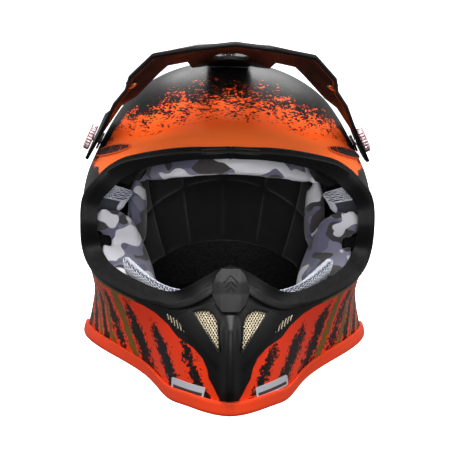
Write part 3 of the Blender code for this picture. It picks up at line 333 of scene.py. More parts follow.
def make_shell_paint():
    """Matte black shell with an orange brow, a splattered fade above it, and striped chin panels."""
    made, tree, shader = new_material("shell_paint")
    flat = 2.6
    texture = tree.group("moulded_grain", Scale=1300.0, Unevenness=0.2)
    rubbed = tree.group("handling_wear", Amount=0.25)
    dusty = tree.group("settled_dust", Amount=0.03)["Mask"]
    brow = tree.ramp(tree.attribute("brow"), -0.15, 0.15)
    splash = tree.group("worn_print", Field=tree.attribute("splash"), Reach=13.0, Fleck=330.0,
                        Flat=flat)["Mask"]
    chin = tree.ramp(tree.attribute("chin"), -0.15, 0.15)
    stripe = tree.group("worn_print", Field=tree.attribute("stripe"), Reach=6.5, Fleck=300.0,
                        Flat=1.3)["Mask"]
    olive = tree.group("worn_print", Field=tree.attribute("olive"), Reach=3.0, Fleck=200.0, Flat=1.2)["Mask"]
    line = tree.ramp(tree.attribute("line"), -0.2, 0.2)
    # the brow's forward face, up to its crest, is painted a lighter orange: a painted highlight that fades
    # into the plain orange above the crest
    brow_highlight_colour = tree.mix(tree.ramp(tree.attribute("crest_highlight"), 0.0, 10.0), shade(255, 112, 46), ORANGE)
    chin_shade = tree.mix(tree.ramp(tree.attribute("lower"), 20.0, 70.0), shade(252, 64, 20),
                          shade(250, 56, 16))
    chin_shade = tree.mix(olive, chin_shade, OLIVE)
    chin_shade = tree.mix(stripe, chin_shade, PAINT_BLACK)
    base = tree.mix(splash, PAINT_BLACK, ORANGE)
    base = tree.mix(brow, base, brow_highlight_colour)
    base = tree.mix(chin, base, chin_shade)
    base = tree.mix(line, base, OLIVE)
    base = tree.mix(tree.math("MULTIPLY", rubbed["Smudge"], 0.12), base, shade(92, 90, 92))
    base = tree.mix(tree.math("MULTIPLY", rubbed["Scuff"], 0.25), base, shade(120, 118, 118))
    give(tree, shader, "Base Color", tree.mix(dusty, base, shade(190, 182, 172)))
    print_mask = tree.math("MAXIMUM", tree.math("MAXIMUM", brow, splash), chin)
    give(tree, shader, "Roughness", tree.math("ADD", tree.ramp(texture["Spread"], 0.3, 0.7, 0.36, 0.46),
                                               tree.math("MULTIPLY", print_mask, 0.03)))
    shader.inputs["Specular IOR Level"].default_value = MATTE_SHINE
    raised = tree.math("ADD", tree.math("MULTIPLY", texture["Height"], 0.35),
                       tree.math("MULTIPLY", print_mask, 0.5))
    bumped(tree, shader, raised, 0.12, 0.0005)
    return made


def make_camo():
    """Brushed knit printed with large rounded patches of white, lilac grey, slate and brown."""
    made, tree, shader = new_material("camo_fabric")
    weave = tree.group("plain_weave", Thread=6500.0)
    where = tree.place()
    warp = tree.add("ShaderNodeTexNoise", {"Vector": where, "Scale": 38.0, "Detail": 1.0})
    bent = tree.add("ShaderNodeVectorMath", {0: where, 1: tree.add(
        "ShaderNodeVectorMath", {0: warp.outputs["Color"], "Scale": 0.016}, operation="SCALE").outputs[0]},
        operation="ADD").outputs[0]

    def patches(shift, scale, low):
        moved = tree.add("ShaderNodeMapping", {"Vector": bent, "Location": shift, "Scale": (1.0, 1.0, 1.5)})
        return tree.ramp(tree.noise(moved.outputs[0], scale, 0.6), low, low + 0.012)

    base = tree.mix(patches((0.3, 0.1, 0.2), 42.0, 0.52), shade(112, 110, 136), shade(140, 138, 160))
    base = tree.mix(patches((0.7, 0.5, 0.1), 45.0, 0.57), base, shade(70, 66, 68))
    base = tree.mix(patches((0.1, 0.9, 0.4), 36.0, 0.53), base, shade(246, 245, 252))
    # the weave's painted shade in its hollows and painted highlight on its threads
    give(tree, shader, "Base Color", scaled(tree, base, weave["Shade"]))
    shader.inputs["Roughness"].default_value = 0.95
    shader.inputs["Sheen Weight"].default_value = 0.3
    bumped(tree, shader, weave["Height"], 0.35, 0.0003)
    return made


def make_foam():
    """Expanded foam: pressed beads with dark joints."""
    made, tree, shader = new_material("bead_foam")
    bead = tree.add("ShaderNodeTexVoronoi", {"Vector": tree.place(), "Scale": 330.0, "Randomness": 0.8},
                    feature="DISTANCE_TO_EDGE").outputs[0]
    edge = tree.ramp(bead, 0.0, 0.22)
    give(tree, shader, "Base Color", tree.mix(edge, shade(2, 2, 2), shade(9, 9, 10)))
    give(tree, shader, "Roughness", tree.ramp(edge, 0.0, 1.0, 0.95, 0.7))
    bumped(tree, shader, edge, 0.6, 0.0006)
    return made


def make_peak_plastic():
    """The peak's black plastic: below its sides a dark red, the underside's own orange plastic painted
    darkened as in shade, and worn flashes on top.
    """
    made, tree, shader = new_material("peak_plastic")
    texture = tree.group("moulded_grain", Scale=1000.0)
    rubbed = tree.group("handling_wear", Amount=0.35)
    dusty = tree.group("settled_dust", Amount=0.04)["Mask"]
    flash = tree.group("worn_print", Field=tree.attribute("flash"), Reach=12.0, Fleck=260.0, Flat=1.0)["Mask"]
    # dark red under the sides: the underside's orange plastic, painted as seen in shade
    base = tree.mix(tree.attribute("underside_shade"), shade(8, 8, 9), shade(16, 3, 2))
    base = tree.mix(flash, base, DEEP_ORANGE)
    base = tree.mix(tree.math("MULTIPLY", rubbed["Scuff"], 0.5), base, shade(110, 108, 108))
    give(tree, shader, "Base Color", tree.mix(dusty, base, shade(190, 182, 172)))
    give(tree, shader, "Roughness", tree.math("ADD", tree.ramp(texture["Spread"], 0.3, 0.7, 0.4, 0.5),
                                               tree.math("MULTIPLY", tree.attribute("underside_shade"), 0.4)))
    shader.inputs["Specular IOR Level"].default_value = MATTE_SHINE
    bumped(tree, shader, texture["Height"], 0.05, 0.0006)
    return made


def make_materials():
    make_groups()
    made = {
        "shell": make_shell_paint(),
        "camo": make_camo(),
        "foam": make_foam(),
        "peak": make_peak_plastic(),
        "trim": moulded("trim_rubber", shade(252, 72, 30), shade(240, 62, 26), 0.5, 1100.0, 0.05,
                        wear=0.3, dust=0.03),
        "rubber": moulded("port_rubber", shade(11, 11, 13), shade(30, 29, 32), 0.5, 1000.0, 0.08,
                          wear=0.4, dust=0.04),
        "housing": moulded("vent_plastic", shade(7, 7, 8), shade(22, 22, 24), 0.42, 1200.0, 0.05,
                           wear=0.4, dust=0.04),
        # near-black plastic standing in for the shade inside the chin vent and under the rear scoops' slats:
        # painted shade
        "vent_shade": moulded("vent_shade_plastic", shade(8, 8, 9), shade(20, 20, 22), 0.7, 900.0, 0.05,
                               wear=0.3, dust=0.0),
        "vent": moulded("slat_plastic", shade(26, 24, 26), shade(72, 60, 56), 0.5, 1200.0, 0.05, wear=0.4),
        "orange": moulded("slat_orange", shade(222, 84, 34), shade(180, 66, 34), 0.5, 1200.0, 0.05, wear=0.3),
        "wire": moulded("woven_wire", shade(222, 208, 178), shade(240, 230, 208), 0.4, 700.0, 0.08, 0.35,
                        dust=0.0),
        "alloy": moulded("pink_alloy", shade(196, 164, 168), shade(226, 206, 208), 0.3, 600.0, 0.05, 0.75,
                         dust=0.0),
        "brass": moulded("brass", shade(196, 148, 84), shade(230, 196, 140), 0.25, 700.0, 0.05, 1.0,
                         dust=0.0),
        "steel": moulded("ring_steel", shade(190, 190, 194), shade(230, 230, 232), 0.22, 700.0, 0.04, 1.0,
                         dust=0.0),
        "label": moulded("label_film", shade(208, 208, 216), shade(180, 178, 184), 0.35, 500.0, 0.03,
                         dust=0.0),
        "label_ink": moulded("label_ink", shade(60, 58, 62), shade(90, 88, 92), 0.4, 500.0, 0.03, dust=0.0),
        "liner": fabric("liner_fabric", shade(13, 13, 15), shade(6, 6, 8), 4200.0),
        "net": fabric("white_net", shade(240, 242, 250), shade(214, 217, 230), 7000.0, 0.3, 0.1),
                "net_ground": fabric("net_ground", shade(92, 97, 116), shade(64, 68, 84), 7000.0, 0.2, 0.1),
        "webbing": fabric("strap_webbing", shade(24, 24, 26), shade(14, 14, 16), 3000.0, 0.9, 0.2),
        "thread": fabric("sewing_thread", shade(70, 70, 76), shade(46, 46, 52), 2500.0),
    }
    return made


# ---------------------------------------------------------------- mesh helpers
material = {}


def add_mesh(name, points, faces, finish, body="shell", smooth=True, sharp=35):
    mesh = bpy.data.meshes.new(name)
    mesh.from_pydata([tuple(p) for p in np.asarray(points, float)], [], [tuple(map(int, f)) for f in faces])
    bm = bmesh.new()
    bm.from_mesh(mesh)
    bmesh.ops.recalc_face_normals(bm, faces=bm.faces)
    bm.to_mesh(mesh)
    bm.free()
    if smooth:
        mesh.shade_smooth()
        mesh.set_sharp_from_angle(angle=math.radians(sharp))
    obj = bpy.data.objects.new(name, mesh)
    bpy.context.scene.collection.objects.link(obj)
    mesh.materials.append(material[finish])
    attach(obj, body)
    return obj


def ring_faces(rings, around, closed, base=0):
    """Faces between rings of points. closed joins the last ring to the first, or else the ends are capped."""
    faces = []
    for i in range(rings if closed else rings - 1):
        a, b = base + i * around, base + (i + 1) % rings * around
        for j in range(around):
            k = (j + 1) % around
            faces.append((a + j, a + k, b + k, b + j))
    if not closed:
        faces.append(tuple(base + j for j in range(around))[::-1])
        faces.append(tuple(base + (rings - 1) * around + j for j in range(around)))
    return faces


def loft(name, rings, finish, closed=False, body="shell", smooth=True, sharp=35):
    rings = np.asarray(rings, float)
    faces = ring_faces(rings.shape[0], rings.shape[1], closed)
    return add_mesh(name, rings.reshape(-1, 3), faces, finish, body, smooth, sharp)


def slab(name, outer, inner, finish, closed=False, body="shell", sharp=35):
    """A closed solid between two grids, with quads across its ends."""
    outer, inner = np.asarray(outer, float), np.asarray(inner, float)
    rows, columns = outer.shape[:2]
    points = np.concatenate([outer.reshape(-1, 3), inner.reshape(-1, 3)])
    shift = rows * columns
    faces = []
    last = rows if closed else rows - 1
    for i in range(last):
        a, b = i * columns, (i + 1) % rows * columns
        for j in range(columns - 1):
            faces.append((a + j, b + j, b + j + 1, a + j + 1))
            faces.append((shift + a + j + 1, shift + b + j + 1, shift + b + j, shift + a + j))
        for j in (0, columns - 1):
            faces.append((a + j, shift + a + j, shift + b + j, b + j))
    if not closed:
        for a in (0, (rows - 1) * columns):
            for j in range(columns - 1):
                faces.append((a + j, a + j + 1, shift + a + j + 1, shift + a + j))
    return add_mesh(name, points, faces, finish, body, True, sharp)


def tube(path, radius, sides=8, closed=False):
    """Rings of points round a path."""
    path = np.asarray(path, float)
    if closed:
        step = np.roll(path, -1, axis=0) - np.roll(path, 1, axis=0)
    else:
        step = np.gradient(path, axis=0)
    step /= np.linalg.norm(step, axis=1, keepdims=True) + 1e-12
    rings = []
    side = np.cross(step[0], (0.3, 0.5, 0.81))
    for point, along in zip(path, step):
        side = side - along * np.dot(side, along)
        side /= np.linalg.norm(side)
        up = np.cross(along, side)
        turn = np.arange(sides) / sides * 2 * math.pi
        rings.append(point + radius * (np.cos(turn)[:, None] * side + np.sin(turn)[:, None] * up))
    return np.array(rings)


def add_tubes(name, paths, radius, finish, sides=6, closed=False, body="shell"):
    """Many tubes as one piece."""
    points, faces, base = [], [], 0
    for path in paths:
        rings = tube(path, radius, sides, closed)
        points.append(rings.reshape(-1, 3))
        faces += ring_faces(len(rings), sides, closed, base)
        base += rings.shape[0] * sides
    return add_mesh(name, np.concatenate(points), faces, finish, body)


def bevel(obj, width, segments=2, angle=30):
    made = obj.modifiers.new("Rounded edges", "BEVEL")
    made.width, made.segments, made.limit_method = width, segments, "ANGLE"
    made.angle_limit = math.radians(angle)
    made.harden_normals = False
    return made


def subdivide(obj, levels=1):
    made = obj.modifiers.new("Smooth", "SUBSURF")
    made.levels = made.render_levels = levels


def set_field(obj, name, values):
    made = obj.data.attributes.new(name, "FLOAT", "POINT")
    made.data.foreach_set("value", np.asarray(values, np.float32).ravel())


def apply_modifiers(obj):
    graph = bpy.context.evaluated_depsgraph_get()
    mesh = bpy.data.meshes.new_from_object(obj.evaluated_get(graph))
    obj.modifiers.clear()
    obj.data = mesh


# ---------------------------------------------------------------- the helmet's skin
def smooth_through(points):
    """A smooth function of t through rows (t, a, b, ...)."""
    rows = np.array(points, float)
    t, values = rows[:, 0], rows[:, 1:]
    slopes = np.empty_like(values)
    slopes[1:-1] = (values[2:] - values[:-2]) / (t[2:] - t[:-2])[:, None]
    slopes[0] = (values[1] - values[0]) / (t[1] - t[0])
    slopes[-1] = (values[-1] - values[-2]) / (t[-1] - t[-2])

    def at(x):
        x = np.clip(np.asarray(x, float), t[0], t[-1])
        k = np.clip(np.searchsorted(t, x) - 1, 0, len(t) - 2)
        h = t[k + 1] - t[k]
        s = ((x - t[k]) / h)[..., None]
        h = h[..., None]
        return (
            (2 * s**3 - 3 * s**2 + 1) * values[k]
            + (s**3 - 2 * s**2 + s) * h * slopes[k]
            + (3 * s**2 - 2 * s**3) * values[k + 1]
            + (s**3 - s**2) * h * slopes[k + 1]
        )

    return at


def profile(crown, rows):
    """Profile from the crown down, in mm: rows of (t, distance from the crown's axis, height)."""
    first = rows[0]
    mirrored = (-first[0], -first[1], first[2])
    return smooth_through([mirrored, (0, 0, crown)] + rows)


CROWN = 272                 # mm above the table
CROWN_Y = 5                 # mm behind the head's centre
RIM = RIM_HEIGHT / MM
REAR_FLAT = 0.85            # cosine of phi past which the rear rim is level
# the rim dips beside the chin: its share of the front's drop, where, and how wide
RIM_DIP, RIM_DIP_PHI, RIM_DIP_WIDTH = 0.19, math.radians(29), math.radians(9)
RIM_SIDE = (RIM_HEIGHT + RIM_SIDE_RISE) / MM
FRONT = profile(CROWN, [
    (0.10, 32, 269.5), (0.20, 65, 261), (0.30, 96, 245), (0.38, 119, 226), (0.44, 132, 209),
    (0.50, 143, 190), (0.60, 160, 155), (0.70, 176, 121), (0.78, 195, 95), (0.86, 207, 64),
    (0.93, 206, 34), (1.00, 199, RIM)])
SIDE = profile(CROWN, [
    (0.10, 33, 268.5), (0.20, 63, 257), (0.30, 88, 238), (0.40, 105, 211), (0.47, 115, 191),
    (0.53, 122.5, 173), (0.59, 126.5, 152), (0.66, 127, 129), (0.73, 125, 106), (0.80, 120, 86),
    (0.86, 117, 70), (0.92, 118.5, 54), (0.96, 120.8, 42), (1.00, 123.5, RIM_SIDE)])
REAR = profile(CROWN, [
    (0.10, 32, 269), (0.20, 63, 258), (0.30, 92, 239), (0.40, 116, 213), (0.50, 133, 180),
    (0.60, 142, 144), (0.70, 142, 108), (0.80, 134, 74), (0.90, 121, 42), (1.00, 109, RIM)])
# t: middle of the widest part behind the crown's axis, squareness of the front and of the
# rear, and how much the cheeks are pinched
SECTION = smooth_through([
    (0.0, 0, 2.0, 2.0, 0), (0.3, 0, 2.05, 2.05, 0), (0.45, 2, 2.3, 2.15, 0), (0.56, 4, 2.7, 2.2, 0),
    (0.65, 5, 2.6, 2.2, 0), (0.76, 5, 2.1, 2.2, 0.02), (0.88, 6, 1.7, 2.2, 0.08), (1.0, 8, 1.52, 2.2, 0.13)])


def inset_profile(curve, t, inset):
    """The profile moved inwards, square to itself."""
    step = 1e-3
    here = curve(t)
    slope = (curve(t + step) - curve(t - step)) / (2 * step)
    slope /= np.linalg.norm(slope, axis=-1, keepdims=True)
    inwards = np.stack([slope[..., 1], -slope[..., 0]], axis=-1)
    return here + inwards * np.asarray(inset)[..., None] / MM


def soft_step(x):
    x = np.clip(x, 0, 1)
    return x * x * (3 - 2 * x)


def skin(phi, t, inset=0.0):
    """Points of the skin, in metres, at phi (radians) and t."""
    phi, t, inset = np.broadcast_arrays(np.asarray(phi, float), np.asarray(t, float), inset)
    front, side, rear = (inset_profile(c, t, inset) for c in (FRONT, SIDE, REAR))
    back, front_square, rear_square, pinch = np.moveaxis(SECTION(t), -1, 0)
    sine, cosine = np.sin(phi), np.cos(phi)
    ahead = cosine >= 0
    power = np.where(ahead, front_square, rear_square)
    rho = (np.abs(sine) ** power + np.abs(cosine) ** power) ** (-1 / power)
    rho = rho * np.where(ahead, 1 - pinch * np.sin(2 * phi) ** 2, 1)
    end = np.where(ahead[..., None], front, rear)
    x = side[..., 0] * rho * sine
    reach = np.where(ahead, -end[..., 0] - back, end[..., 0] - back)
    y = CROWN_Y + back + reach * rho * np.abs(cosine)
    dip = RIM_DIP * np.exp(-(((np.arccos(cosine) - RIM_DIP_PHI) / RIM_DIP_WIDTH) ** 2))
    dip = dip * soft_step((t - 0.8) / 0.2)
    share = np.where(ahead, cosine**2 + dip, soft_step(np.abs(cosine) / REAR_FLAT))
    z = side[..., 1] + (end[..., 1] - side[..., 1]) * share
    return np.stack([x * MM, y * MM + HEAD_Y, z * MM], axis=-1)


def skin_normal(phi, t):
    """Unit normals of the skin, pointing out of the helmet."""
    out = skin(phi, t, -1 * MM) - skin(phi, t, 1 * MM)
    step = 1e-3
    along = skin(phi + step, t) - skin(phi - step, t)
    down = skin(phi, np.minimum(t + step, 1)) - skin(phi, np.maximum(t - step, 0))
    normal = np.cross(along, down)
    normal /= np.linalg.norm(normal, axis=-1, keepdims=True)
    side = np.sign(np.sum(normal * out, axis=-1, keepdims=True))
    return normal * side


def bisect(function, target, low, high, steps=34):
    """Solves function(x) = target for a function that rises from low to high."""
    low = np.broadcast_to(np.asarray(low, float), np.shape(target)).copy()
    high = np.broadcast_to(np.asarray(high, float), np.shape(target)).copy()
    for _ in range(steps):
        middle = (low + high) / 2
        under = function(middle) < target
        low = np.where(under, middle, low)
        high = np.where(under, high, middle)
    return (low + high) / 2


def t_at_height(phi, z, inset=0.0):
    return bisect(lambda t: -skin(phi, t, inset)[..., 2], -np.asarray(z, float), 0.0, 1.0)


def on_front(x, z, inset=0.0):
    """(phi, t) of the skin's point ahead of the ears with this x and z, in metres."""
    x, z, inset = np.broadcast_arrays(np.asarray(x, float), np.asarray(z, float), inset)
    shape = x.shape
    wanted = np.stack([np.abs(x).ravel(), z.ravel()], axis=-1)
    inset = inset.ravel()
    spread = np.meshgrid(np.linspace(0, math.pi / 2, 46), np.linspace(0.03, 1, 60), indexing="ij")
    known = skin(*spread)[..., (0, 2)].reshape(-1, 2)
    start = np.stack([part.ravel() for part in spread], axis=-1)
    nearest = np.concatenate([((known[None] - rows[:, None]) ** 2).sum(axis=-1).argmin(axis=1)
                              for rows in np.array_split(wanted, len(wanted) // 500 + 1)])
    guess = start[nearest]

    def reached(g):
        return skin(g[:, 0], g[:, 1], inset)[:, (0, 2)]

    step = 1e-4
    for _ in range(12):
        here = reached(guess)
        slopes = np.stack([(reached(guess + (step, 0)) - here) / step,
                           (reached(guess + (0, step)) - here) / step],
                          axis=-1)
        slopes += np.eye(2) * 1e-9
        move = np.linalg.solve(slopes, (wanted - here)[..., None])[..., 0]
        guess = guess + np.clip(move, -0.08, 0.08)
        guess = np.clip(guess, (-0.2, 0.01), (math.pi / 2, 1.0))
    return guess[:, 0].reshape(shape) * np.sign(x), guess[:, 1].reshape(shape)


# ---------------------------------------------------------------- the eye port
# Half of the gasket's inner edge, in mm from the middle and above the table, from the nose up.
PORT_HALF = [
    (0, 119), (15.5, 113.5), (39, 100), (51, 96), (63, 96.5), (79, 99.5), (95, 104), (104.5, 109.5),
    (109.5, 119), (111, 134), (110, 149), (106, 159), (98, 168.5), (88, 178.5), (75, 186.5),
    (52, 193.5), (28, 197.5), (0, 199)]


def closed_outline(half, count):
    """count points, evenly spaced round the outline whose right half is given, from x = 0."""
    rows = np.array(half, float)
    length = np.concatenate([[0], np.cumsum(np.linalg.norm(np.diff(rows, axis=0), axis=1))])
    curve = smooth_through(np.column_stack([length, rows]))
    right = curve(np.linspace(0, length[-1], count // 2 + 1))
    left = right[1:-1][::-1] * (-1, 1)
    return np.concatenate([right, left]) * MM


def port_edges(count):
    """The gasket's inner edge (x, z), and the shell's edge (x, z) the lip's width outside it."""
    inner = closed_outline(PORT_HALF, count)
    along = np.roll(inner, -1, axis=0) - np.roll(inner, 1, axis=0)
    along /= np.linalg.norm(along, axis=1, keepdims=True)
    away = np.column_stack([along[:, 1], -along[:, 0]])
    width = LIP_SIDE * np.abs(away[:, 0])
    width += np.where(away[:, 1] > 0, LIP_TOP, LIP_BOTTOM) * np.abs(away[:, 1])
    return inner, inner + away * width[:, None]


COUNT = PORT_STEPS * FINE
GASKET_EDGE, SHELL_EDGE = port_edges(COUNT)
PORT_PHI, PORT_T = on_front(SHELL_EDGE[:, 0], SHELL_EDGE[:, 1])
RIM_PHI = np.arange(COUNT) / COUNT * 2 * math.pi


def port_frame():
    """At each step round the port: the shell's edge, its normal and the way into the opening."""
    edge = skin(PORT_PHI, PORT_T)
    normal = skin_normal(PORT_PHI, PORT_T)
    along = np.roll(edge, -1, axis=0) - np.roll(edge, 1, axis=0)
    inwards = np.cross(along, normal)
    inwards /= np.linalg.norm(inwards, axis=1, keepdims=True)
    centre = edge.mean(axis=0)
    inwards *= np.sign(np.sum(inwards * (centre - edge), axis=1, keepdims=True))
    return edge, normal, inwards


def lip_edge():
    """The gasket's inner edge in space. The lip runs forward at the sides and back at the top."""
    edge = skin(PORT_PHI, PORT_T)
    width = np.linalg.norm(GASKET_EDGE - SHELL_EDGE, axis=1)
    sideways = np.abs(GASKET_EDGE[:, 0] - SHELL_EDGE[:, 0]) / width
    forward = width * (1.0 * sideways**2 - 0.15)
    return np.column_stack([GASKET_EDGE[:, 0], edge[:, 1] - forward, GASKET_EDGE[:, 1]])


def net_at(rows, v):
    """(phi, t) of the net at fractional steps round the port (rows) and towards the rim (v)."""
    index = np.arange(-COUNT, 2 * COUNT) / FINE
    port = np.stack([PORT_T * np.sin(PORT_PHI), -PORT_T * np.cos(PORT_PHI)], axis=-1)
    rim = np.stack([np.sin(RIM_PHI), -np.cos(RIM_PHI)], axis=-1)
    between = port[:, None] * (1 - v)[None, :, None] + rim[:, None] * v[None, :, None]
    tiled = np.concatenate([between] * 3)
    flat = np.empty((len(rows), len(v), 2))
    for column in range(len(v)):
        for part in range(2):
            flat[:, column, part] = np.interp(rows, index, tiled[:, column, part])
    return np.arctan2(flat[..., 0], -flat[..., 1]), np.linalg.norm(flat, axis=-1)


def strike(points, direction, phi, t, inset=0.0):
    """Where the lines from points along direction meet the skin, starting the search at phi, t."""
    points = np.atleast_2d(np.asarray(points, float))
    direction = np.asarray(direction, float)
    guess = np.tile([phi, t, 0.0], (len(points), 1))

    def miss(g):
        return skin(g[:, 0], g[:, 1], inset) - points - g[:, 2:] * direction

    for _ in range(12):
        here = miss(guess)
        slopes = []
        for k, step in enumerate((1e-5, 1e-5, 1e-5)):
            moved = guess.copy()
            moved[:, k] += step
            slopes.append((miss(moved) - here) / step)
        jacobian = np.stack(slopes, axis=-1)
        guess -= np.linalg.solve(jacobian, here[..., None])[..., 0]
        guess[:, 1] = np.clip(guess[:, 1], 0.003, 0.999)
    return points + guess[:, 2:] * direction


def aim(point, direction):
    """A frame at point whose +z runs along direction."""
    turn = Vector(direction).to_track_quat("Z", "Y").to_matrix().to_4x4()
    return Matrix.Translation(point) @ turn




# ---------------------------------------------------------------- shell and its paint
# Edges of the painted areas, as (distance from the middle, height) in mm down one side
BROW_TOP = [(0, 227.5), (14, 227), (27, 225.5), (40, 222.5), (52, 219), (62, 214.5), (70, 211.8), (78, 212.5),
            (86, 212), (93, 209.5), (100.5, 204.8), (110, 194), (119, 180)]
BROW_RIDGE = [(0, 218.4), (26, 217), (55, 212.4), (80, 205.5)]
CHIN_TOP = [(0, 4), (7.5, 9.2), (9, 19), (13, 26), (16, 34), (20, 45), (29, 54), (42, 60), (49, 68),
            (60, 75.5),
            (70, 79), (90, 82), (109, 84.5)]
UNPAINTED = -80              # a paint field this low shows no fleck of its colour
CROWN_RELIEF = 0.9 * MM      # the crown stays this far below the net, clear of the peak at its lowest
SPLASH_RISE = 33            # mm, how far the fade reaches above the brow


def boundary(points, further):
    """Height of a painted edge, from where a point lies round the helmet.

    points are (x, z) rows ahead of the ears, and further holds (degrees, z) rows past them."""
    rows = sorted(list(points) + [(round_place(120, turn), z) for turn, z in further])
    places, heights = zip(*rows)
    return lambda phi, x: np.interp(round_place(np.abs(x), np.abs(np.degrees(phi))), places, heights)


def round_place(x, turn):
    """x in mm in front, carried on by the angle past the cheeks."""
    return x + 3 * np.maximum(turn - 65, 0)


def paint(obj, phi, t):
    """Signed distances, in mm, that the shell's paint is cut from."""
    place = skin(phi, t)
    x, y, z = place[..., 0] / MM, (place[..., 1] - HEAD_Y) / MM, place[..., 2] / MM
    turn = np.abs(np.degrees(phi))
    top = boundary(BROW_TOP, [(92, 176), (112, 171), (180, 60)])(phi, x)
    ahead = (100 - turn) * 2
    brow = np.minimum(top - z, ahead)
    low = np.interp(turn, [0, 48, 60, 75, 90, 112], [150, 165, 184, 183.5, 178, 176])
    brow = np.minimum(brow, z - low)
    set_field(obj, "brow", brow)
    # the fade thins out upwards, and trails back along the sides
    rise = (z - top) / np.interp(turn, [0, 40, 75, 110, 130], [SPLASH_RISE, SPLASH_RISE, 17, 10, 3])
    inside = np.interp(turn, [0, 70, 84, 118, 130], [0, 0, -3, -6, -30])
    splash = np.where(rise > -0.3, 5.5 - 12.5 * np.clip(rise, -0.3, 2) + inside, 6 + inside)
    set_field(obj, "splash", np.minimum(splash, (z - low) * 3))
    # height above the brow's crest, where the painted highlight on the brow fades out
    crest = boundary(BROW_RIDGE, [(75, 190), (110, 180)])(phi, x)
    set_field(obj, "crest_highlight", z - crest)
    edge = boundary(CHIN_TOP, [(90, 90), (118, 101), (180, 101)])(phi, x)
    # past the cheek the panel ends in a swept-back edge
    along = np.abs(x) + 0.85 * np.maximum(0, y + 62) + 0.36 * (60 - z)
    slant = 196 - along + 0.9 * (z - 40)
    chin = np.minimum(edge - z, slant)
    set_field(obj, "chin", chin)
    set_field(obj, "line", np.minimum(np.where(turn > 44, 1.1 - np.abs(edge - z + 0.4), -5), slant + 6))
    stripes = np.full(z.shape, -20.0)
    for centre, half, low, high in ((38, 5.5, 12, 60), (59.5, 6, 10, 67), (78, 6, 14, 78), (98, 4.5, 14, 84),
                                    (122, 7, 10, 84), (150, 8, 10, 90), (176, 9, 10, 96)):
        band = half * np.clip((high + 6 - z) / 20, 0.3, 1) - np.abs(along - centre)
        band = np.minimum(band, np.minimum(high - z, z - low))
        stripes = np.maximum(stripes, band)
    set_field(obj, "stripe", np.minimum(stripes, 6) - 1.0)
    gold = np.full(z.shape, -20.0)
    for centre, half in ((88, 3.6), (108, 5.0), (136, 4.0), (164, 3.0)):
        gold = np.maximum(gold, half - np.abs(along - centre))
    set_field(obj, "olive", np.minimum(gold, 5) - 0.3)
    set_field(obj, "lower", z)


def leave_inside_bare(shell, outside):
    """Only the first points, those of the outer face, carry paint."""
    for name in ("brow", "splash", "chin", "line"):
        values = np.empty(len(shell.data.vertices))
        shell.data.attributes[name].data.foreach_get("value", values)
        values[outside:] = UNPAINTED
        shell.data.attributes[name].data.foreach_set("value", values)


def make_shell():
    rows = np.arange(COUNT) / FINE
    steps = np.linspace(0, 1, 121)
    phi, t = net_at(rows, steps)
    # the brow stands forward in a soft ledge
    lift = brow_ledge(phi, t) - CROWN_RELIEF * soft_step((skin(phi, t)[..., 2] / MM - 215) / 20)
    shell = slab("painted_shell", skin(phi, t, -lift), skin(phi, t, SHELL_WALL), "shell", closed=True)
    paint(shell, np.concatenate([phi.ravel()] * 2), np.concatenate([t.ravel()] * 2))
    leave_inside_bare(shell, phi.size)
    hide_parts("outer_shell")
    cut_shell(shell)
    return shell


def brow_ledge(phi, t):
    """A shallow raised brow with a crease along its crest, in metres out of the skin."""
    place = skin(phi, t)
    z = place[..., 2] / MM
    crest = boundary(BROW_RIDGE, [(75, 190), (110, 180)])(phi, place[..., 0] / MM)
    turn = np.abs(np.degrees(phi))
    fade = soft_step((84 - turn) / 20) * (turn < 90)
    below = soft_step((crest + 1.5 - z) / 3.5)
    return 0.85 * MM * fade * below * soft_step((z - 172) / 14)


def prism_cutter(outline, y, depth):
    """A block through the front of the helmet: an outline of (x, z) in metres, drawn along y."""
    count = len(outline)
    points = [(x, y - depth, z) for x, z in outline] + [(x, y + depth, z) for x, z in outline]
    faces = [tuple(range(count)), tuple(range(count, 2 * count))]
    faces += [(i, (i + 1) % count, (i + 1) % count + count, i + count) for i in range(count)]
    return temporary(points, faces)


def temporary(points, faces):
    mesh = bpy.data.meshes.new("cutter")
    mesh.from_pydata([tuple(p) for p in points], [], faces)
    bm = bmesh.new()
    bm.from_mesh(mesh)
    bmesh.ops.recalc_face_normals(bm, faces=bm.faces)
    bm.to_mesh(mesh)
    bm.free()
    obj = bpy.data.objects.new("cutter", mesh)
    bpy.context.scene.collection.objects.link(obj)
    return obj


def drill_cutter(place, radius, low, high, sides=28):
    angles = np.arange(sides) / sides * 2 * math.pi
    points = [place @ Vector((radius * math.cos(a), radius * math.sin(a), h)) for h in (low, high)
              for a in angles]
    faces = [tuple(range(sides)), tuple(range(sides, 2 * sides))]
    faces += [(i, (i + 1) % sides, (i + 1) % sides + sides, i + sides) for i in range(sides)]
    return temporary(points, faces)


def carve(obj, cutters):
    """Cuts the shapes out of obj for good, and removes them."""
    for cutter in cutters:
        made = obj.modifiers.new("Cut", "BOOLEAN")
        made.operation, made.solver, made.object = "DIFFERENCE", "EXACT", cutter
    apply_modifiers(obj)
    for cutter in cutters:
        bpy.data.objects.remove(cutter)


WINDOW = np.array([(8.2, 53), (14.8, 62.5), (23.5, 75), (29.5, 83), (19, 85.5), (12.5, 82), (9.8, 76)]) * MM


def rounded(outline, per_side=6, soft=0.22):
    """The outline with rounded corners."""
    outline = np.asarray(outline, float)
    points = []
    count = len(outline)
    for i in range(count):
        before, here, after = outline[i - 1], outline[i], outline[(i + 1) % count]
        a, b = here + (before - here) * soft, here + (after - here) * soft
        for s in np.linspace(0, 1, per_side):
            points.append((1 - s) ** 2 * a + 2 * s * (1 - s) * here + s * s * b)
    return np.array(points)


def grown(outline, factor):
    middle = outline.mean(axis=0)
    return middle + (outline - middle) * factor


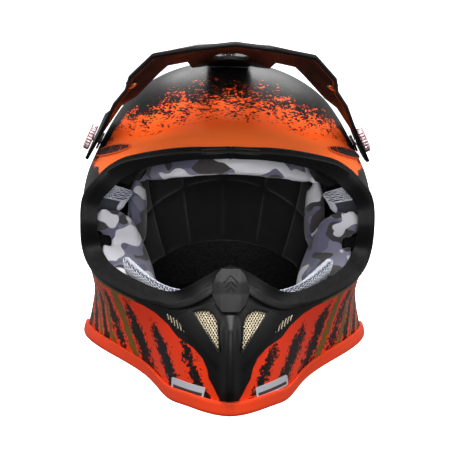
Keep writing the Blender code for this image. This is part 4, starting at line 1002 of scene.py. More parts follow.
def cut_shell(shell):
    cutters = []
    for sign in (1, -1):
        cutters.append(prism_cutter(grown(rounded(WINDOW), 0.9) * (sign, 1), HEAD_Y - 190 * MM, 50 * MM))
        place = side_screw_place(sign)
        cutters.append(drill_cutter(place, 2.9 * MM, -22 * MM, -4 * MM))
    cutters.append(drill_cutter(crown_screw_place(), 2.9 * MM, -20 * MM, 0))
    carve(shell, cutters)


def crown_arc(radius, y):
    return PIVOT_Z + np.sqrt(radius**2 - y**2)


PEAK_TOP = PEAK_SEAT_RADIUS + 1 * MM + PEAK_WALL


def crown_screw_place():
    radial = Vector((0, CROWN_SCREW_BACK, 0))
    radial.z = math.sqrt(PEAK_TOP**2 - radial.y**2)
    return aim(Vector((0, HEAD_Y, PIVOT_Z)) + radial, radial)


def side_screw_place(sign):
    out = Vector((sign * math.cos(ARM_TILT), 0, math.sin(ARM_TILT)))
    return aim(Vector((sign * PIVOT_X, HEAD_Y, PIVOT_Z)), out)


def make_gasket():
    edge, normal, inwards = port_frame()
    lip = lip_edge()
    back = np.array([0, 1, 0])
    clear, thick = GASKET_CLEAR - 0.9 * MM, GASKET_THICK + 0.9 * MM
    section = [
        edge - inwards * GASKET_OVERLAP + normal * clear,
        edge - inwards * GASKET_OVERLAP + normal * (clear + thick * 0.55),
        edge - inwards * GASKET_OVERLAP * 0.75 + normal * (clear + thick * 0.92),
        edge - inwards * GASKET_OVERLAP * 0.5 + normal * (clear + thick),
        edge + inwards * 0.4 * MM + normal * (clear + thick * 0.98),
        edge + inwards * 1.2 * MM + normal * (clear + thick * 0.62),
        edge + inwards * 2.0 * MM + normal * (clear + thick * 0.55),
    ]
    start, step = section[-1], lip - section[-1]
    for share, dip in ((0.3, 0.35), (0.6, 0.5), (0.85, 0.3)):
        section.append(start + step * share - normal * dip * MM)
    section += [
        lip - step * 0.04,
        lip,
        lip + back * GASKET_THICK * 0.5 + step * 0.01,
        lip + back * GASKET_THICK - step * 0.03,
        edge + inwards * 3.4 * MM - normal * (SHELL_WALL + 2 * MM),
        edge + inwards * LAYER_GAP * 2 - normal * (SHELL_WALL + 2 * MM),
        edge + inwards * LAYER_GAP * 2 + normal * clear,
    ]
    gasket = loft("port_gasket", np.stack(section, axis=1), "rubber", closed=True, sharp=50)
    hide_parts("eyeport_gasket")


def make_edge_trim():
    phi = RIM_PHI
    drop, wall, gap, thick = RIM_HEIGHT, SHELL_WALL, LAYER_GAP, TRIM_THICK
    rim = skin(phi, 1.0)[..., 2]
    up_outside = t_at_height(phi, rim + TRIM_FACE)
    up_inside = t_at_height(phi, rim + TRIM_FACE * 0.7)

    def below(inset, depth):
        points = skin(phi, 1.0, inset)
        points[:, 2] = rim - depth
        return points

    section = [skin(phi, up_outside, -gap * 0.3), skin(phi, up_outside, -gap - thick * 0.55)]
    for share in (0.15, 0.4, 0.7):
        section.append(skin(phi, up_outside + (1 - up_outside) * share, -gap - thick * (0.78 + 0.22 * share)))
    middle, half = (wall / 2, wall / 2 + gap + thick)
    for angle in np.linspace(0, math.pi, 11):
        section.append(below(middle - half * math.cos(angle), drop * (0.12 + 0.88 * math.sin(angle) ** 0.75)))
    section += [skin(phi, up_inside, wall + gap + thick), skin(phi, up_inside, wall + gap * 0.3),
                below(wall + gap * 0.3, FIT_GAP * 2), below(-gap * 0.3, FIT_GAP * 2)]
    trim = loft("rim_trim", np.stack(section, axis=1), "trim", closed=True, sharp=55)
    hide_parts("edge_trim")


# ---------------------------------------------------------------- foam
def make_foams():
    first = 18
    rows = np.arange(first * 3, (PORT_STEPS - first) * 3 + 1) / 3
    phi, t = net_at(rows, np.linspace(1 / 12, 11 / 12, 61))
    crown = slab("crown_foam", skin(phi, t, FOAM_START), skin(phi, t, FOAM_START + CROWN_EPS), "foam")
    cutters = [drill_cutter(side_screw_place(sign), 6.5 * MM, -24.5 * MM, 0) for sign in (1, -1)]
    cutters.append(drill_cutter(crown_screw_place(), 6.5 * MM, -21.5 * MM, 0))
    carve(crown, cutters)
    phi, t = net_at(np.arange(-18, 19) / 3, np.linspace(2 / 12, 9 / 12, 31))
    chin = slab("chin_foam", skin(phi, t, FOAM_START), skin(phi, t, FOAM_START + CHIN_EPS), "foam")
    cutters = [prism_cutter(grown(rounded(WINDOW), 0.86) * (sign, 1), HEAD_Y - 190 * MM, 50 * MM)
               for sign in (1, -1)]
    carve(chin, cutters)
    start = FOAM_START + CROWN_EPS + LAYER_GAP
    rows = np.linspace(20, PORT_STEPS - 20, 97)
    phi, t = net_at(rows, np.linspace(3 / 12, 10 / 12, 81))
    # sewn channels run front to back over the crown
    share_a, share_d = np.meshgrid(np.linspace(0, 1, 97), np.linspace(0, 1, 81), indexing="ij")
    channel = np.abs(np.sin(share_a * math.pi * 6)) ** 0.35 * np.abs(np.sin(share_d * math.pi * 4)) ** 0.25
    inner = skin(phi, t, start + COMFORT * (0.55 + 0.45 * channel))
    liner = slab("crown_liner", skin(phi, t, start), inner, "liner")
    for obj, node, slot in ((crown, "crown_impact_foam", "eps_foam"), (chin, "chin_impact_foam", "eps_foam"),
                            (liner, "crown_comfort_liner", "liner_fabric")):
        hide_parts(node)


# ---------------------------------------------------------------- pads
def swell(obj, pressure=4.0, most=4 * MM, voxel=4.5 * MM):
    """Blows a pad up like a sewn cushion, only on the wearer's side, and smooths it."""
    remesh = obj.modifiers.new("Remesh", "REMESH")
    remesh.mode, remesh.voxel_size = "VOXEL", voxel
    apply_modifiers(obj)
    count = len(obj.data.vertices)
    before = np.empty(count * 3)
    obj.data.vertices.foreach_get("co", before)
    before = before.reshape(-1, 3)
    cloth = obj.modifiers.new("Cloth", "CLOTH")
    cloth.settings.quality = 5
    cloth.settings.mass = 0.2
    cloth.settings.use_pressure = True
    cloth.settings.uniform_pressure_force = pressure
    cloth.settings.effector_weights.gravity = 0
    cloth.collision_settings.use_collision = False
    scene = bpy.context.scene
    cloth.point_cache.frame_start, cloth.point_cache.frame_end = 1, 20
    for number in range(1, 21):
        scene.frame_set(number)
    graph = bpy.context.evaluated_depsgraph_get()
    swollen = obj.evaluated_get(graph).data
    after = np.empty(len(swollen.vertices) * 3)
    swollen.vertices.foreach_get("co", after)
    obj.modifiers.clear()
    scene.frame_set(1)
    move = after.reshape(-1, 3) - before
    # the far side rests on its neighbour, so it stays
    axis = np.column_stack([before[:, 0], before[:, 1] - HEAD_Y, np.maximum(before[:, 2] - 0.15, 0)])
    axis /= np.linalg.norm(axis, axis=1, keepdims=True) + 1e-9
    outwards = np.maximum(np.sum(move * axis, axis=1), 0)
    move -= axis * outwards[:, None]
    size = np.linalg.norm(move, axis=1)
    move *= (np.minimum(size, most) / np.maximum(size, 1e-9))[:, None]
    obj.data.vertices.foreach_set("co", (before + move).ravel())
    obj.data.update()
    obj.data.shade_smooth()
    smooth = obj.modifiers.new("Even", "SMOOTH")
    smooth.factor, smooth.iterations = 0.5, 2
    subdivide(obj)


def pad_grids(phi, t, start, thick, edge=0.35, groove=None):
    """Outer and inner faces of a pad over a grid, thinner round its border, with slight creases."""
    share_a = np.linspace(-1, 1, phi.shape[0])[:, None]
    share_d = np.linspace(-1, 1, phi.shape[1])[None, :]
    bulge = edge + (1 - edge) * np.sqrt(np.maximum((1 - share_a**4) * (1 - share_d**4), 0))
    crease = 0.5 * MM * np.sin(share_a * 21 + share_d * 3) * np.sin(share_d * 9 + share_a * 5) * bulge
    if groove is not None:
        bulge = bulge * (1 - 0.3 * np.exp(-(((share_d - groove) / 0.06) ** 2)))
    start = start + 0 * bulge
    return skin(phi, t, start), skin(phi, t, start + thick * bulge * 0.99 + crease - 0.5 * MM)


def net_grid(rows, v, steps):
    return net_at(np.linspace(*rows, steps[0] + 1), np.linspace(*v, steps[1] + 1))


def finish_pad(node):
    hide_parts(node)


def make_brow_pad():
    inset = FOAM_START + CROWN_EPS + LAYER_GAP
    phi = np.radians(np.linspace(-54, 54, 71))
    arch = np.abs(phi / phi[-1]) ** 1.7
    low, high = (186 - 15 * arch) * MM, (211 - 4 * arch) * MM
    z = low[:, None] + (high - low)[:, None] * np.linspace(0, 1, 17)
    phi = np.broadcast_to(phi[:, None], z.shape)
    outer, inner = pad_grids(phi, t_at_height(phi, z, inset), inset, BROW_PAD, 0.45)
    pad = slab("brow_cushion", outer, inner, "camo")
    swell(pad, most=3 * MM)
    finish_pad("brow_pad")


def side_pads(name, node, finish, rows, v, start, thick, steps, edge, dry=False, groove=None):
    phi, t = net_grid(rows, v, steps)
    made = []
    for side, sign in (("left", 1), ("right", -1)):
        outer, inner = pad_grids(sign * phi, t, start, thick, edge, groove)
        pad = slab(f"{name}_{side}", outer, inner, finish)
        if dry:
            subdivide(pad)
        else:
            swell(pad)
        finish_pad(f"{node}_{side}")
        made.append((pad, sign, inner))
    return made


def honeycomb(name, grid, cell, thick):
    """Net of six-sided holes lying on a grid of points, as a solid."""
    rows, columns = grid.shape[:2]
    length = np.linalg.norm(np.diff(grid, axis=0), axis=-1).sum(axis=0).mean()
    width = np.linalg.norm(np.diff(grid, axis=1), axis=-1).sum(axis=1).mean()
    bm = bmesh.new()
    found = {}

    def corner(a, d):
        a, d = min(max(a / length, 0), 1) * (rows - 1), min(max(d / width, 0), 1) * (columns - 1)
        key = (round(a, 3), round(d, 3))
        if key not in found:
            i, j = min(int(a), rows - 2), min(int(d), columns - 2)
            s, r = a - i, d - j
            point = ((grid[i, j] * (1 - s) + grid[i + 1, j] * s) * (1 - r)
                     + (grid[i, j + 1] * (1 - s) + grid[i + 1, j + 1] * s) * r)
            found[key] = bm.verts.new(point)
        return found[key]

    step_a, step_d = cell * 0.75, cell * 0.66
    for i in range(int(length / step_a) + 2):
        for j in range(int(width / step_d) + 2):
            a, d = i * step_a, (j + 0.5 * (i % 2)) * step_d
            ring = [corner(a + cell * 0.5 * math.cos(k * math.pi / 3),
                           d + cell * 0.38 * math.sin(k * math.pi / 3))
                    for k in range(6)]
            if len(set(ring)) < 6:
                continue
            try:
                bm.faces.new(ring)
            except ValueError:
                continue
    bmesh.ops.recalc_face_normals(bm, faces=bm.faces)
    mesh = bpy.data.meshes.new(name)
    bm.to_mesh(mesh)
    bm.free()
    obj = bpy.data.objects.new(name, mesh)
    bpy.context.scene.collection.objects.link(obj)
    mesh.materials.append(material["net"])
    frame_work = obj.modifiers.new("Strands", "WIREFRAME")
    frame_work.thickness, frame_work.use_replace, frame_work.use_even_offset = thick, True, False
    apply_modifiers(obj)
    obj.data.shade_smooth()
    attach(obj, "shell")
    return obj


def make_pads():
    inside_crown = FOAM_START + CROWN_EPS + LAYER_GAP
    make_brow_pad()
    side_pads("side_cushion", "side_pad", "camo", (15.7, 19.6), (0.29, 0.62),
              inside_crown + 7.5 * MM, SIDE_PAD, (22, 22), 0.35)
    for side, sign in (("left", 1), ("right", -1)):
        phi, t = net_grid((10.6, 15.2), (0.24, 0.74), (28, 24))
        outer, inner = pad_grids(sign * phi, t, PAD_START, CHEEK_CORE, 0.8, 0)
        core = slab(f"cheek_foam_{side}", outer, inner, "foam")
        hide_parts(f"cheek_core_{side}")
    behind = np.interp(np.linspace(0, 8, 41), [0, 1, 2, 8], [0, 0, 1, 1]) * (CHEEK_CORE + LAYER_GAP)
    depth = CHEEK_CORE + LAYER_GAP + CHEEK_PAD
    side_pads("cheek_cushion", "cheek_pad", "camo", (10.5, 15.3), (-0.02, 0.74),
              PAD_START + behind, depth - behind, (40, 40), 0.5, groove=-0.52)
    for name, node, rows, v, start, thick, steps, edge, cell in (
            ("temple_pad", "temple_mesh_pad", (15.8, 17.2), (-0.02, 0.17), PAD_START, CROWN_EPS, (14, 20),
             0.75, 4.6),
            ("cheek_net_pad", "cheek_mesh_pad", (5.6, 10.2), (-0.3, 0.34), CHEEK_MESH_START, CHEEK_MESH,
             (26, 24),
             0.5, 4.4)):
        for pad, sign, inner in side_pads(name, node, "net_ground", rows, v, start, thick,
                                          steps,
                                          edge, dry=True):
            side = "left" if sign > 0 else "right"
            front = skin(*[np.array(g)[:, :1] * s for g, s in zip(net_grid(rows, v, steps), (sign, 1))],
                         start + thick * np.linspace(0.08, 0.4, 7)[None, :] * 1.0)
            # the net runs over the pad's outer face too, where it stands clear of the port's frame
            outside = skin(*[g * s for g, s in zip(net_grid(rows, (v[0], max(v[0], 0.0)), (steps[0], 10)),
                                                   (sign, 1))],
                           start - 0.3 * MM)[:, ::-1]
            strips = [front, inner[:, 1:]]
            if v[0] < -0.1:
                strips.insert(0, outside[:, :-1])
            face = np.concatenate(strips, axis=1)
            honeycomb(f"{name}_net_{side}", face, cell * MM, 1.3 * MM)


def make_neck_roll():
    phi = np.radians(np.linspace(122, 238, 61))
    high = np.linspace(1, 0.93, 15)
    t = np.broadcast_to(high, (len(phi), len(high)))
    outer = skin(phi[:, None], t, NECK_START)
    bulge = 0.4 + 0.6 * np.sqrt(1 - np.abs(np.linspace(-1, 1, len(high))) ** 3)
    pleat = 1 - 0.12 * np.abs(np.cos(np.linspace(0, 9 * math.pi, 61)))[:, None] ** 6
    inner = skin(phi[:, None], t, NECK_START + NECK_ROLL * bulge * pleat)
    for grid in (outer, inner):
        grid[..., 2] = np.maximum(grid[..., 2], 3.4 * MM)
    roll = slab("neck_cushion", outer, inner, "liner")
    subdivide(roll)
    finish_pad("neck_roll")


# ---------------------------------------------------------------- chin vent and its neighbours
CHIN_VENT_FOOT = (RIM_HEIGHT + TRIM_FACE + 1 * MM) / MM
HOUSING = [(7.5, CHIN_VENT_FOOT), (10, 18.5), (13, 25), (16.5, 31), (18, 39), (22, 48), (30, 57), (36, 66),
           (43, 77.5), (33, 84.5), (19, 91), (6, 96)]
NOSE = [(7, 85.5), (12, 91), (14.5, 98), (14.5, 105), (11.5, 113), (7.5, 117.5)]


def plate_grid(half, down, across, inset):
    """Points of a plate on the front of the skin. half holds (x, z) rows down one side, in mm."""
    half = np.array(half, float) * MM
    length = np.concatenate([[0], np.cumsum(np.linalg.norm(np.diff(half, axis=0), axis=1))])
    place = np.linspace(0, length[-1], down)
    place = np.unique(np.concatenate([place, length]))
    half = np.column_stack([np.interp(place, length, half[:, k]) for k in (0, 1)])
    x = half[:, :1] * np.linspace(-1, 1, across)
    z = np.broadcast_to(half[:, 1:], x.shape)
    inset = inset(x, z) if callable(inset) else np.full(x.shape, inset)
    phi, t = on_front(x, z, inset)
    return skin(phi, t, inset), x, z


def chin_face(x, z):
    """Inset of the vent's outer face: a central fin with a rounded crest, over a plate with a fold."""
    side = np.abs(x) / MM
    height = z / MM
    length = np.clip((88 - height) / 16, 0, 1) * np.clip((height - 4) / 18, 0.25, 1)
    fin = np.exp(-((side / 6.3) ** 2.6))
    fold = np.clip((height - 40 - 0.95 * (side - 12)) / 6, 0, 1) * np.clip((side - 6) / 6, 0, 1)
    return -(2.1 * MM + 6.2 * MM * fin * length + 0.7 * MM * fold)


def window_frame(sign):
    """A raised bead round a window."""
    outline = grown(rounded(WINDOW), 1.05) * (sign, 1)
    phi, t = on_front(outline[:, 0], outline[:, 1])
    face = chin_face(outline[:, 0], outline[:, 1])
    path = skin(phi, t, face + 0.4 * MM)
    inner = grown(rounded(WINDOW), 0.93) * (sign, 1)
    phi_in, t_in = on_front(inner[:, 0], inner[:, 1])
    low = skin(phi_in, t_in, -0.4 * MM)
    top_in = skin(phi_in, t_in, chin_face(inner[:, 0], inner[:, 1]) - 0.5 * MM)
    top_out = skin(phi, t, face - 0.9 * MM)
    section = np.stack([path, top_out, (top_out + top_in) / 2, top_in, low], axis=1)
    return section


def make_chin_vent():
    outer, _, _ = plate_grid(HOUSING, 84, 61, chin_face)
    inner, _, _ = plate_grid(HOUSING, 84, 61, LAYER_GAP * -0.4)
    housing = slab("chin_vent", outer, inner, "housing", sharp=40)
    cutters = [prism_cutter(rounded(WINDOW) * (sign, 1), HEAD_Y - 190 * MM, 50 * MM) for sign in (1, -1)]
    carve(housing, cutters)
    bevel(housing, 0.5 * MM, 2, 50)
    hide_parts("chin_vent_housing")
    for side, sign in (("left", 1), ("right", -1)):
        bead = loft(f"window_bead_{side}", window_frame(sign), "housing", closed=True, sharp=60)
        make_grille(side, sign)
        make_gills(side, sign)
        run = np.linspace((16, 103.5), (46, 86.5), 20) * MM * (sign, 1)
        phi, t = on_front(run[:, 0], run[:, 1])
        lift = GASKET_CLEAR + GASKET_THICK
        crease = add_tubes(f"chin_crease_{side}", [skin(phi, t, -lift * np.linspace(1.15, 0.4, 20))],
                           0.7 * MM, "rubber")


def inside_outline(point, outline):
    x, z = point
    odd = False
    for i in range(len(outline)):
        (ax, az), (bx, bz) = outline[i - 1], outline[i]
        if (az > z) != (bz > z) and x < (bx - ax) * (z - az) / (bz - az) + ax:
            odd = not odd
    return odd


def wire_paths(outline, pitch, samples=0.5 * MM, lift=1.3 * MM):
    """Two sets of crossing wires inside the outline, each passing over and under the other."""
    low, high = outline.min(axis=0), outline.max(axis=0)
    middle, reach = (low + high) / 2, np.linalg.norm(high - low) / 2
    paths = []
    for family, angle in ((0, math.radians(32)), (1, math.radians(-32))):
        along = np.array([math.sin(angle), math.cos(angle)])
        across = np.array([along[1], -along[0]])
        for offset in np.arange(-reach, reach, pitch):
            run = []
            for s in np.arange(-reach, reach, samples):
                point = middle + across * offset + along * s
                if inside_outline(point, outline):
                    run.append((*point, s, offset))
                elif run:
                    if len(run) > 2:
                        paths.append((family, np.array(run)))
                    run = []
            if len(run) > 2:
                paths.append((family, np.array(run)))
    made = []
    for family, run in paths:
        phi, t = on_front(run[:, 0], run[:, 1])
        wave = 0.22 * MM * np.sin(run[:, 2] / pitch * math.pi + (0.5 if family else 0) * 2 * math.pi
                                  + run[:, 3] / pitch * math.pi)
        made.append(skin(phi, t, -lift + wave))
    return made


def make_grille(side, sign):
    outline = grown(rounded(WINDOW, 3), 0.97) * (sign, 1)
    wires = add_tubes(f"wire_mesh_{side}", wire_paths(outline, 1.85 * MM), 0.36 * MM, "wire", sides=5)
    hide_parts(f"chin_grille_{side}")
    # a near-black duct stands behind the wire: painted shade for the dark inside of the vent seen through the
    # mesh
    ring = grown(rounded(WINDOW), 0.86) * (sign, 1)
    phi, t = on_front(ring[:, 0], ring[:, 1])
    duct = np.stack([skin(phi, t, 0.6 * MM), skin(phi, t, SHELL_WALL + 0.4 * MM)], axis=0)
    middle = np.broadcast_to(duct[1].mean(axis=0), duct[1].shape)
    section = np.stack([duct[0], duct[1], duct[1] * 0.5 + middle * 0.5 + (0, 1.5 * MM, 0),
                        duct[1] * 0.5 + middle * 0.5 + (0, 0.9 * MM, 0), duct[1] * 0.97 + middle * 0.03,
                        duct[0] * 0.97 + middle * 0.03], axis=1)
    cup = loft(f"duct_{side}", section, "vent_shade", closed=True)


def make_gills(side, sign):
    """A short row of small louvres in the black of the chin, beside the vent."""
    paths = []
    for share in np.linspace(0, 1, 7):
        x, z = (34 + 15 * share) * MM, (66.5 + 8.5 * share) * MM
        tall = (1.5 + 1.5 * math.sin(math.pi * share) + 0.8 * share) * MM
        ends = np.array([(x - 0.5 * MM, z - tall), (x, z), (x + 0.9 * MM, z + tall)]) * (sign, 1)
        phi, t = on_front(ends[:, 0], ends[:, 1])
        paths.append(skin(phi, t, -0.5 * MM))
    bars = add_tubes(f"chin_gills_{side}", paths, 0.5 * MM, "wire", sides=6)


def make_nose_guard():
    def over_gasket(rise):
        return lambda x, z: -(rise + 2.6 * MM * np.clip((z - 99 * MM) / (9 * MM), 0, 1)
                              - 0.8 * MM * np.clip((np.abs(x) / MM - 8) / 6, 0, 1))

    outer, x, z = plate_grid(NOSE, 26, 25, over_gasket(6.2 * MM))
    inner, _, _ = plate_grid(NOSE, 26, 25, over_gasket(3.4 * MM))
    cap = slab("nose_cap", outer, inner, "rubber", sharp=40)
    bevel(cap, 0.7 * MM, 3, 40)
    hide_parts("nose_guard")
    # a plain chevron stands in relief on it
    paths = []
    for sign in (1, -1):
        for x0, z0, x1, z1 in ((0.4, 112.5, 5.5, 107.5), (0.4, 108.5, 4.2, 104.5), (0.4, 104.2, 2.8, 101.2)):
            run = np.linspace((x0, z0), (x1, z1), 8) * MM * (sign, 1)
            inset = over_gasket(6.3 * MM)(run[:, 0], run[:, 1])
            phi, t = on_front(run[:, 0], run[:, 1], inset)
            paths.append(skin(phi, t, inset))
    relief = add_tubes("nose_relief", paths, 0.55 * MM, "rubber", sides=6)


def lens_shape(centre, half_width, half_height, lean, inset, steps=34, rows=9):
    share = np.linspace(-1, 1, steps)
    phi = np.radians(centre[0] + share * half_width)
    tall = half_height * (1 - np.abs(share) ** 2.2) ** 0.7 + 0.35
    z_mid = centre[1] + lean * share
    z = (z_mid[:, None] + tall[:, None] * np.linspace(-1, 1, rows)) * MM
    phi = np.broadcast_to(phi[:, None], z.shape)
    return skin(phi, t_at_height(phi, z, inset), inset)


def make_leaf(name, node, centre, half_width, half_height, lean, count, rim):
    """A leaf-shaped scoop: a floor, slats across it and a rim round it. Under the rear scoops' slats the
    floor is near-black, a painted shade for the vent's opening; under the temple scoops' it takes the rim's
    orange.
    """
    # under the rear scoops the floor is near-black, painted shade for the opening
    floor = slab(f"{name}_floor", lens_shape(centre, half_width, half_height, lean, -1.1 * MM),
                 lens_shape(centre, half_width, half_height, lean, -0.1 * MM),
                 "vent_shade" if rim == "vent" else rim)
    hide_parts(node)
    grid = lens_shape(centre, half_width, half_height, lean, -1.9 * MM, 60, 5)
    picks = np.linspace(4, 55, count).round().astype(int)
    slats = add_tubes(f"{name}_slats", [grid[k] for k in picks], 0.62 * MM, "vent", sides=6)
    edge = np.concatenate([grid[:, 0], grid[::-1, -1]])
    keep = np.concatenate([[True], np.linalg.norm(np.diff(edge, axis=0), axis=1) > 0.2 * MM])
    border = add_tubes(f"{name}_rim", [edge[keep]], 0.6 * MM, rim, sides=8, closed=True)


def make_vents():
    for side, sign in (("left", 1), ("right", -1)):
        make_leaf(f"temple_scoop_{side}", f"temple_vent_{side}", (sign * 58.5, 199), sign * 14, 3.4, -6.0,
                  17, "orange")
        make_leaf(f"rear_scoop_{side}", f"rear_vent_{side}", (180 - sign * 24, 214), sign * 13, 6.8, 0,
                  12, "vent")
        # slim intakes under the brow
        outline = rounded(np.array([(3.2, 202.2), (22, 200.6), (22.6, 204.2), (3.4, 205.6)]) * MM, 5,
                          0.12) * (sign, 1)
        phi, t = on_front(outline[:, 0], outline[:, 1])
        path = skin(phi, t, -3.8 * MM)
        intake = add_tubes(f"brow_intake_{side}", [path], 0.45 * MM, "housing", sides=6, closed=True)


def make_labels():
    """A blank film label each side of the chin, with a plain printed band."""
    corners = {"left": [(20.7, 22.2), (47.8, 24.8), (49.6, 14.4), (22.2, 12.6)],
               "right": [(-46.1, 22.8), (-18.8, 22.4), (-20.8, 12.6), (-46.4, 11.6)]}
    for side, points in corners.items():
        points = np.array(points, float) * MM
        for part, (top, bottom, finish, lift) in {"film": (0.0, 1.0, "label", 0.35),
                                                  "band": (0.56, 0.84, "label_ink", 0.5)}.items():
            across = np.linspace(0.0 if part == "film" else 0.06, 1.0 if part == "film" else 0.94, 25)
            grid = []
            for s in across:
                high, low = points[0] + (points[1] - points[0]) * s, points[3] + (points[2] - points[3]) * s
                end = 0.12 * max(0, 1 - min(s, 1 - s) / 0.04) if part == "film" else 0
                grid.append([high + (low - high) * u for u in np.linspace(top + end, bottom - end, 7)])
            grid = np.array(grid)
            phi, t = on_front(grid[..., 0], grid[..., 1])
            label = slab(f"label_{part}_{side}", skin(phi, t, -lift * MM), skin(phi, t, 0.1 * MM), finish)


# ---------------------------------------------------------------- peak
# (x, y, z) in mm from the head's centre; None takes the height from the crown arc
PEAK_ROWS = [
    [(0, -234, 297), (30, -230.5, 293.3), (62, -215, 287)],
    [(0, -190, 294.8), (28, -187, 293.3), (56, -181, 285.5), (81, -175, 268)],
    [(0, -150, 291), (24, -148, 289.5), (51, -145, 281), (85, -145, 256)],
    [(0, -128, 288), (20, -128, 286), (37, -131, 279.5), (53, -127, 276), (61, -121, 268.5),
     (79, -108, 249.5), (96, -112, 242)],
    [(0, -98, 281), (20, -99, 278.5), (33, -102, 273.5)],
    [(0, -62, 277), (16, -62, 275.8), (25, -63, 272.5)],
    [(0, -36, None), (12, -36, None), (20, -36, None)],
    [(0, -24, None), (12, -24, None), (20, -24, None)],
    [(0, -12, None), (12, -12, None), (20, -12, None)],
    [(0, 0, None), (12, 0, None), (20, 0, None)],
    [(0, 10, None), (11, 10, None), (16, 10, None)],
]
PEAK_ARM = [
    [(79, -108, 249.5), (96, -112, 242)],
    [(93, -71, 238.5), (109.4, -71, 214)],
    [(None, -32, 227), (None, -30, 188)],
    [(None, -8, 222), (None, -8, 188)],
    [(None, 8, 217), (None, 10, 191.5)],
    [(None, 17, 209), (None, 18, 199)],
]


def arm_plane(z):
    return PIVOT_X / MM - math.tan(ARM_TILT) * (z - PIVOT_Z / MM)


def make_peak():
    bm = bmesh.new()
    found = {}

    def vert(point):
        x, y, z = point
        height = crown_arc(PEAK_TOP, y * MM) if z is None else z * MM
        key = (round(x, 3), round(y, 3), round(height, 6))
        if key not in found:
            found[key] = bm.verts.new((x * MM, y * MM + HEAD_Y, height))
        return found[key]

    def panel(*points):
        bm.faces.new([vert(p) for p in points])
        bm.faces.new([vert((-p[0], p[1], p[2])) for p in reversed(points)])

    rows = PEAK_ROWS
    for first, second in zip(rows, rows[1:]):
        for k in range(min(len(first), len(second), 3) - 1):
            panel(first[k], second[k], second[k + 1], first[k + 1])
    panel(rows[0][2], rows[1][2], rows[1][3])
    panel(rows[1][2], rows[2][3], rows[1][3])
    panel(rows[1][2], rows[2][2], rows[2][3])
    panel(rows[2][2], rows[3][2], rows[3][3], rows[2][3])
    panel(rows[2][3], rows[3][3], rows[3][4])
    panel(rows[2][3], rows[3][4], rows[3][5])
    panel(rows[2][3], rows[3][5], rows[3][6])
    arm = [[(arm_plane(p[2]), p[1], p[2]) if p[0] is None else p for p in pair] for pair in PEAK_ARM]
    for (a, b), (c, d) in zip(arm, arm[1:]):
        panel(a, c, d, b)
    bmesh.ops.recalc_face_normals(bm, faces=bm.faces)
    if sum(face.normal.z for face in bm.faces) < 0:
        bmesh.ops.reverse_faces(bm, faces=bm.faces)
    mesh = bpy.data.meshes.new("peak_shell")
    bm.to_mesh(mesh)
    bm.free()
    peak = bpy.data.objects.new("peak_shell", mesh)
    bpy.context.scene.collection.objects.link(peak)
    wall = peak.modifiers.new("Wall", "SOLIDIFY")
    wall.thickness, wall.offset = PEAK_WALL, -1
    wall.use_even_offset = wall.use_quality_normals = True
    apply_modifiers(peak)
    hole = [(14.6 * math.copysign(abs(math.cos(a)) ** 0.7, math.cos(a)) * MM, 13.5 * math.sin(a) * MM)
            for a in np.arange(40) / 40 * 2 * math.pi]
    points = [(x, y + HEAD_Y - 113 * MM, h) for h in (0.26, 0.3) for x, y in hole]
    count = len(hole)
    faces = [tuple(range(count)), tuple(range(count, 2 * count))]
    faces += [(i, (i + 1) % count, (i + 1) % count + count, i + count) for i in range(count)]
    cutters = [temporary(points, faces)]
    screw = crown_screw_place()
    turn = np.linspace(-math.pi / 2, math.pi / 2, 9)
    front = [(3 * MM * math.sin(a), 8.5 * MM + 3 * MM * math.cos(a)) for a in turn]
    slot = front + [(-x, -z) for x, z in front]
    points = [screw @ Vector((x, z, h)) for h in (-9 * MM, 9 * MM) for x, z in slot]
    count = len(slot)
    faces = [tuple(range(count)), tuple(range(count, 2 * count))]
    faces += [(i, (i + 1) % count, (i + 1) % count + count, i + count) for i in range(count)]
    cutters.append(temporary(points, faces))
    for sign in (1, -1):
        cutters.append(drill_cutter(side_screw_place(sign), 3.5 * MM, -8 * MM, 4 * MM))
        spot, out = panel_point(sign)
        cutters.append(drill_cutter(aim(spot, out), 2.2 * MM, -8 * MM, 4 * MM))
    carve(peak, cutters)
    bevel(peak, 0.9 * MM, 3, 12)
    apply_modifiers(peak)
    refine(peak, 9 * MM)
    peak.data.materials.append(material["peak"])
    peak.data.shade_smooth()
    peak.data.set_sharp_from_angle(angle=math.radians(30))
    paint_peak(peak)
    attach(peak, "peak")
    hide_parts("peak")
    make_peak_lip()


def refine(obj, most):
    """Splits long edges so that painted fields have points to live on."""
    bm = bmesh.new()
    bm.from_mesh(obj.data)
    bmesh.ops.triangulate(bm, faces=bm.faces, quad_method="BEAUTY", ngon_method="BEAUTY")
    for _ in range(5):
        long = [edge for edge in bm.edges if edge.calc_length() > most]
        if not long:
            break
        bmesh.ops.subdivide_edges(bm, edges=long, cuts=1, use_grid_fill=False)
        bmesh.ops.triangulate(bm, faces=[f for f in bm.faces if len(f.verts) > 3])
    bm.to_mesh(obj.data)
    bm.free()


def paint_peak(peak):
    """The dark red below the sides, the orange plastic painted darkened as in shade, and the flashes on top.
    """
    mesh = peak.data
    count = len(mesh.vertices)
    place, normal = np.empty(count * 3), np.empty(count * 3)
    mesh.vertices.foreach_get("co", place)
    mesh.vertices.foreach_get("normal", normal)
    place, normal = place.reshape(-1, 3), normal.reshape(-1, 3)
    x, y = np.abs(place[:, 0]) / MM, (place[:, 1] - HEAD_Y) / MM
    under = np.clip(-normal[:, 2] * 3, 0, 1)
    # painted shade: the orange underside's darkened red, on faces that look down, towards the sides and the
    # front
    set_field(peak, "underside_shade", under * np.clip((x - 34) / 30, 0, 1) * np.clip((-y - 96) / 30, 0, 1))
    band = 9 - np.abs(x - (30 - (y + 140) * 0.28))
    flash = np.minimum(band, np.minimum(-y - 105, y + 222)) * 0.6 - 3
    set_field(peak, "flash", np.where(normal[:, 2] > 0.15, flash, UNPAINTED))


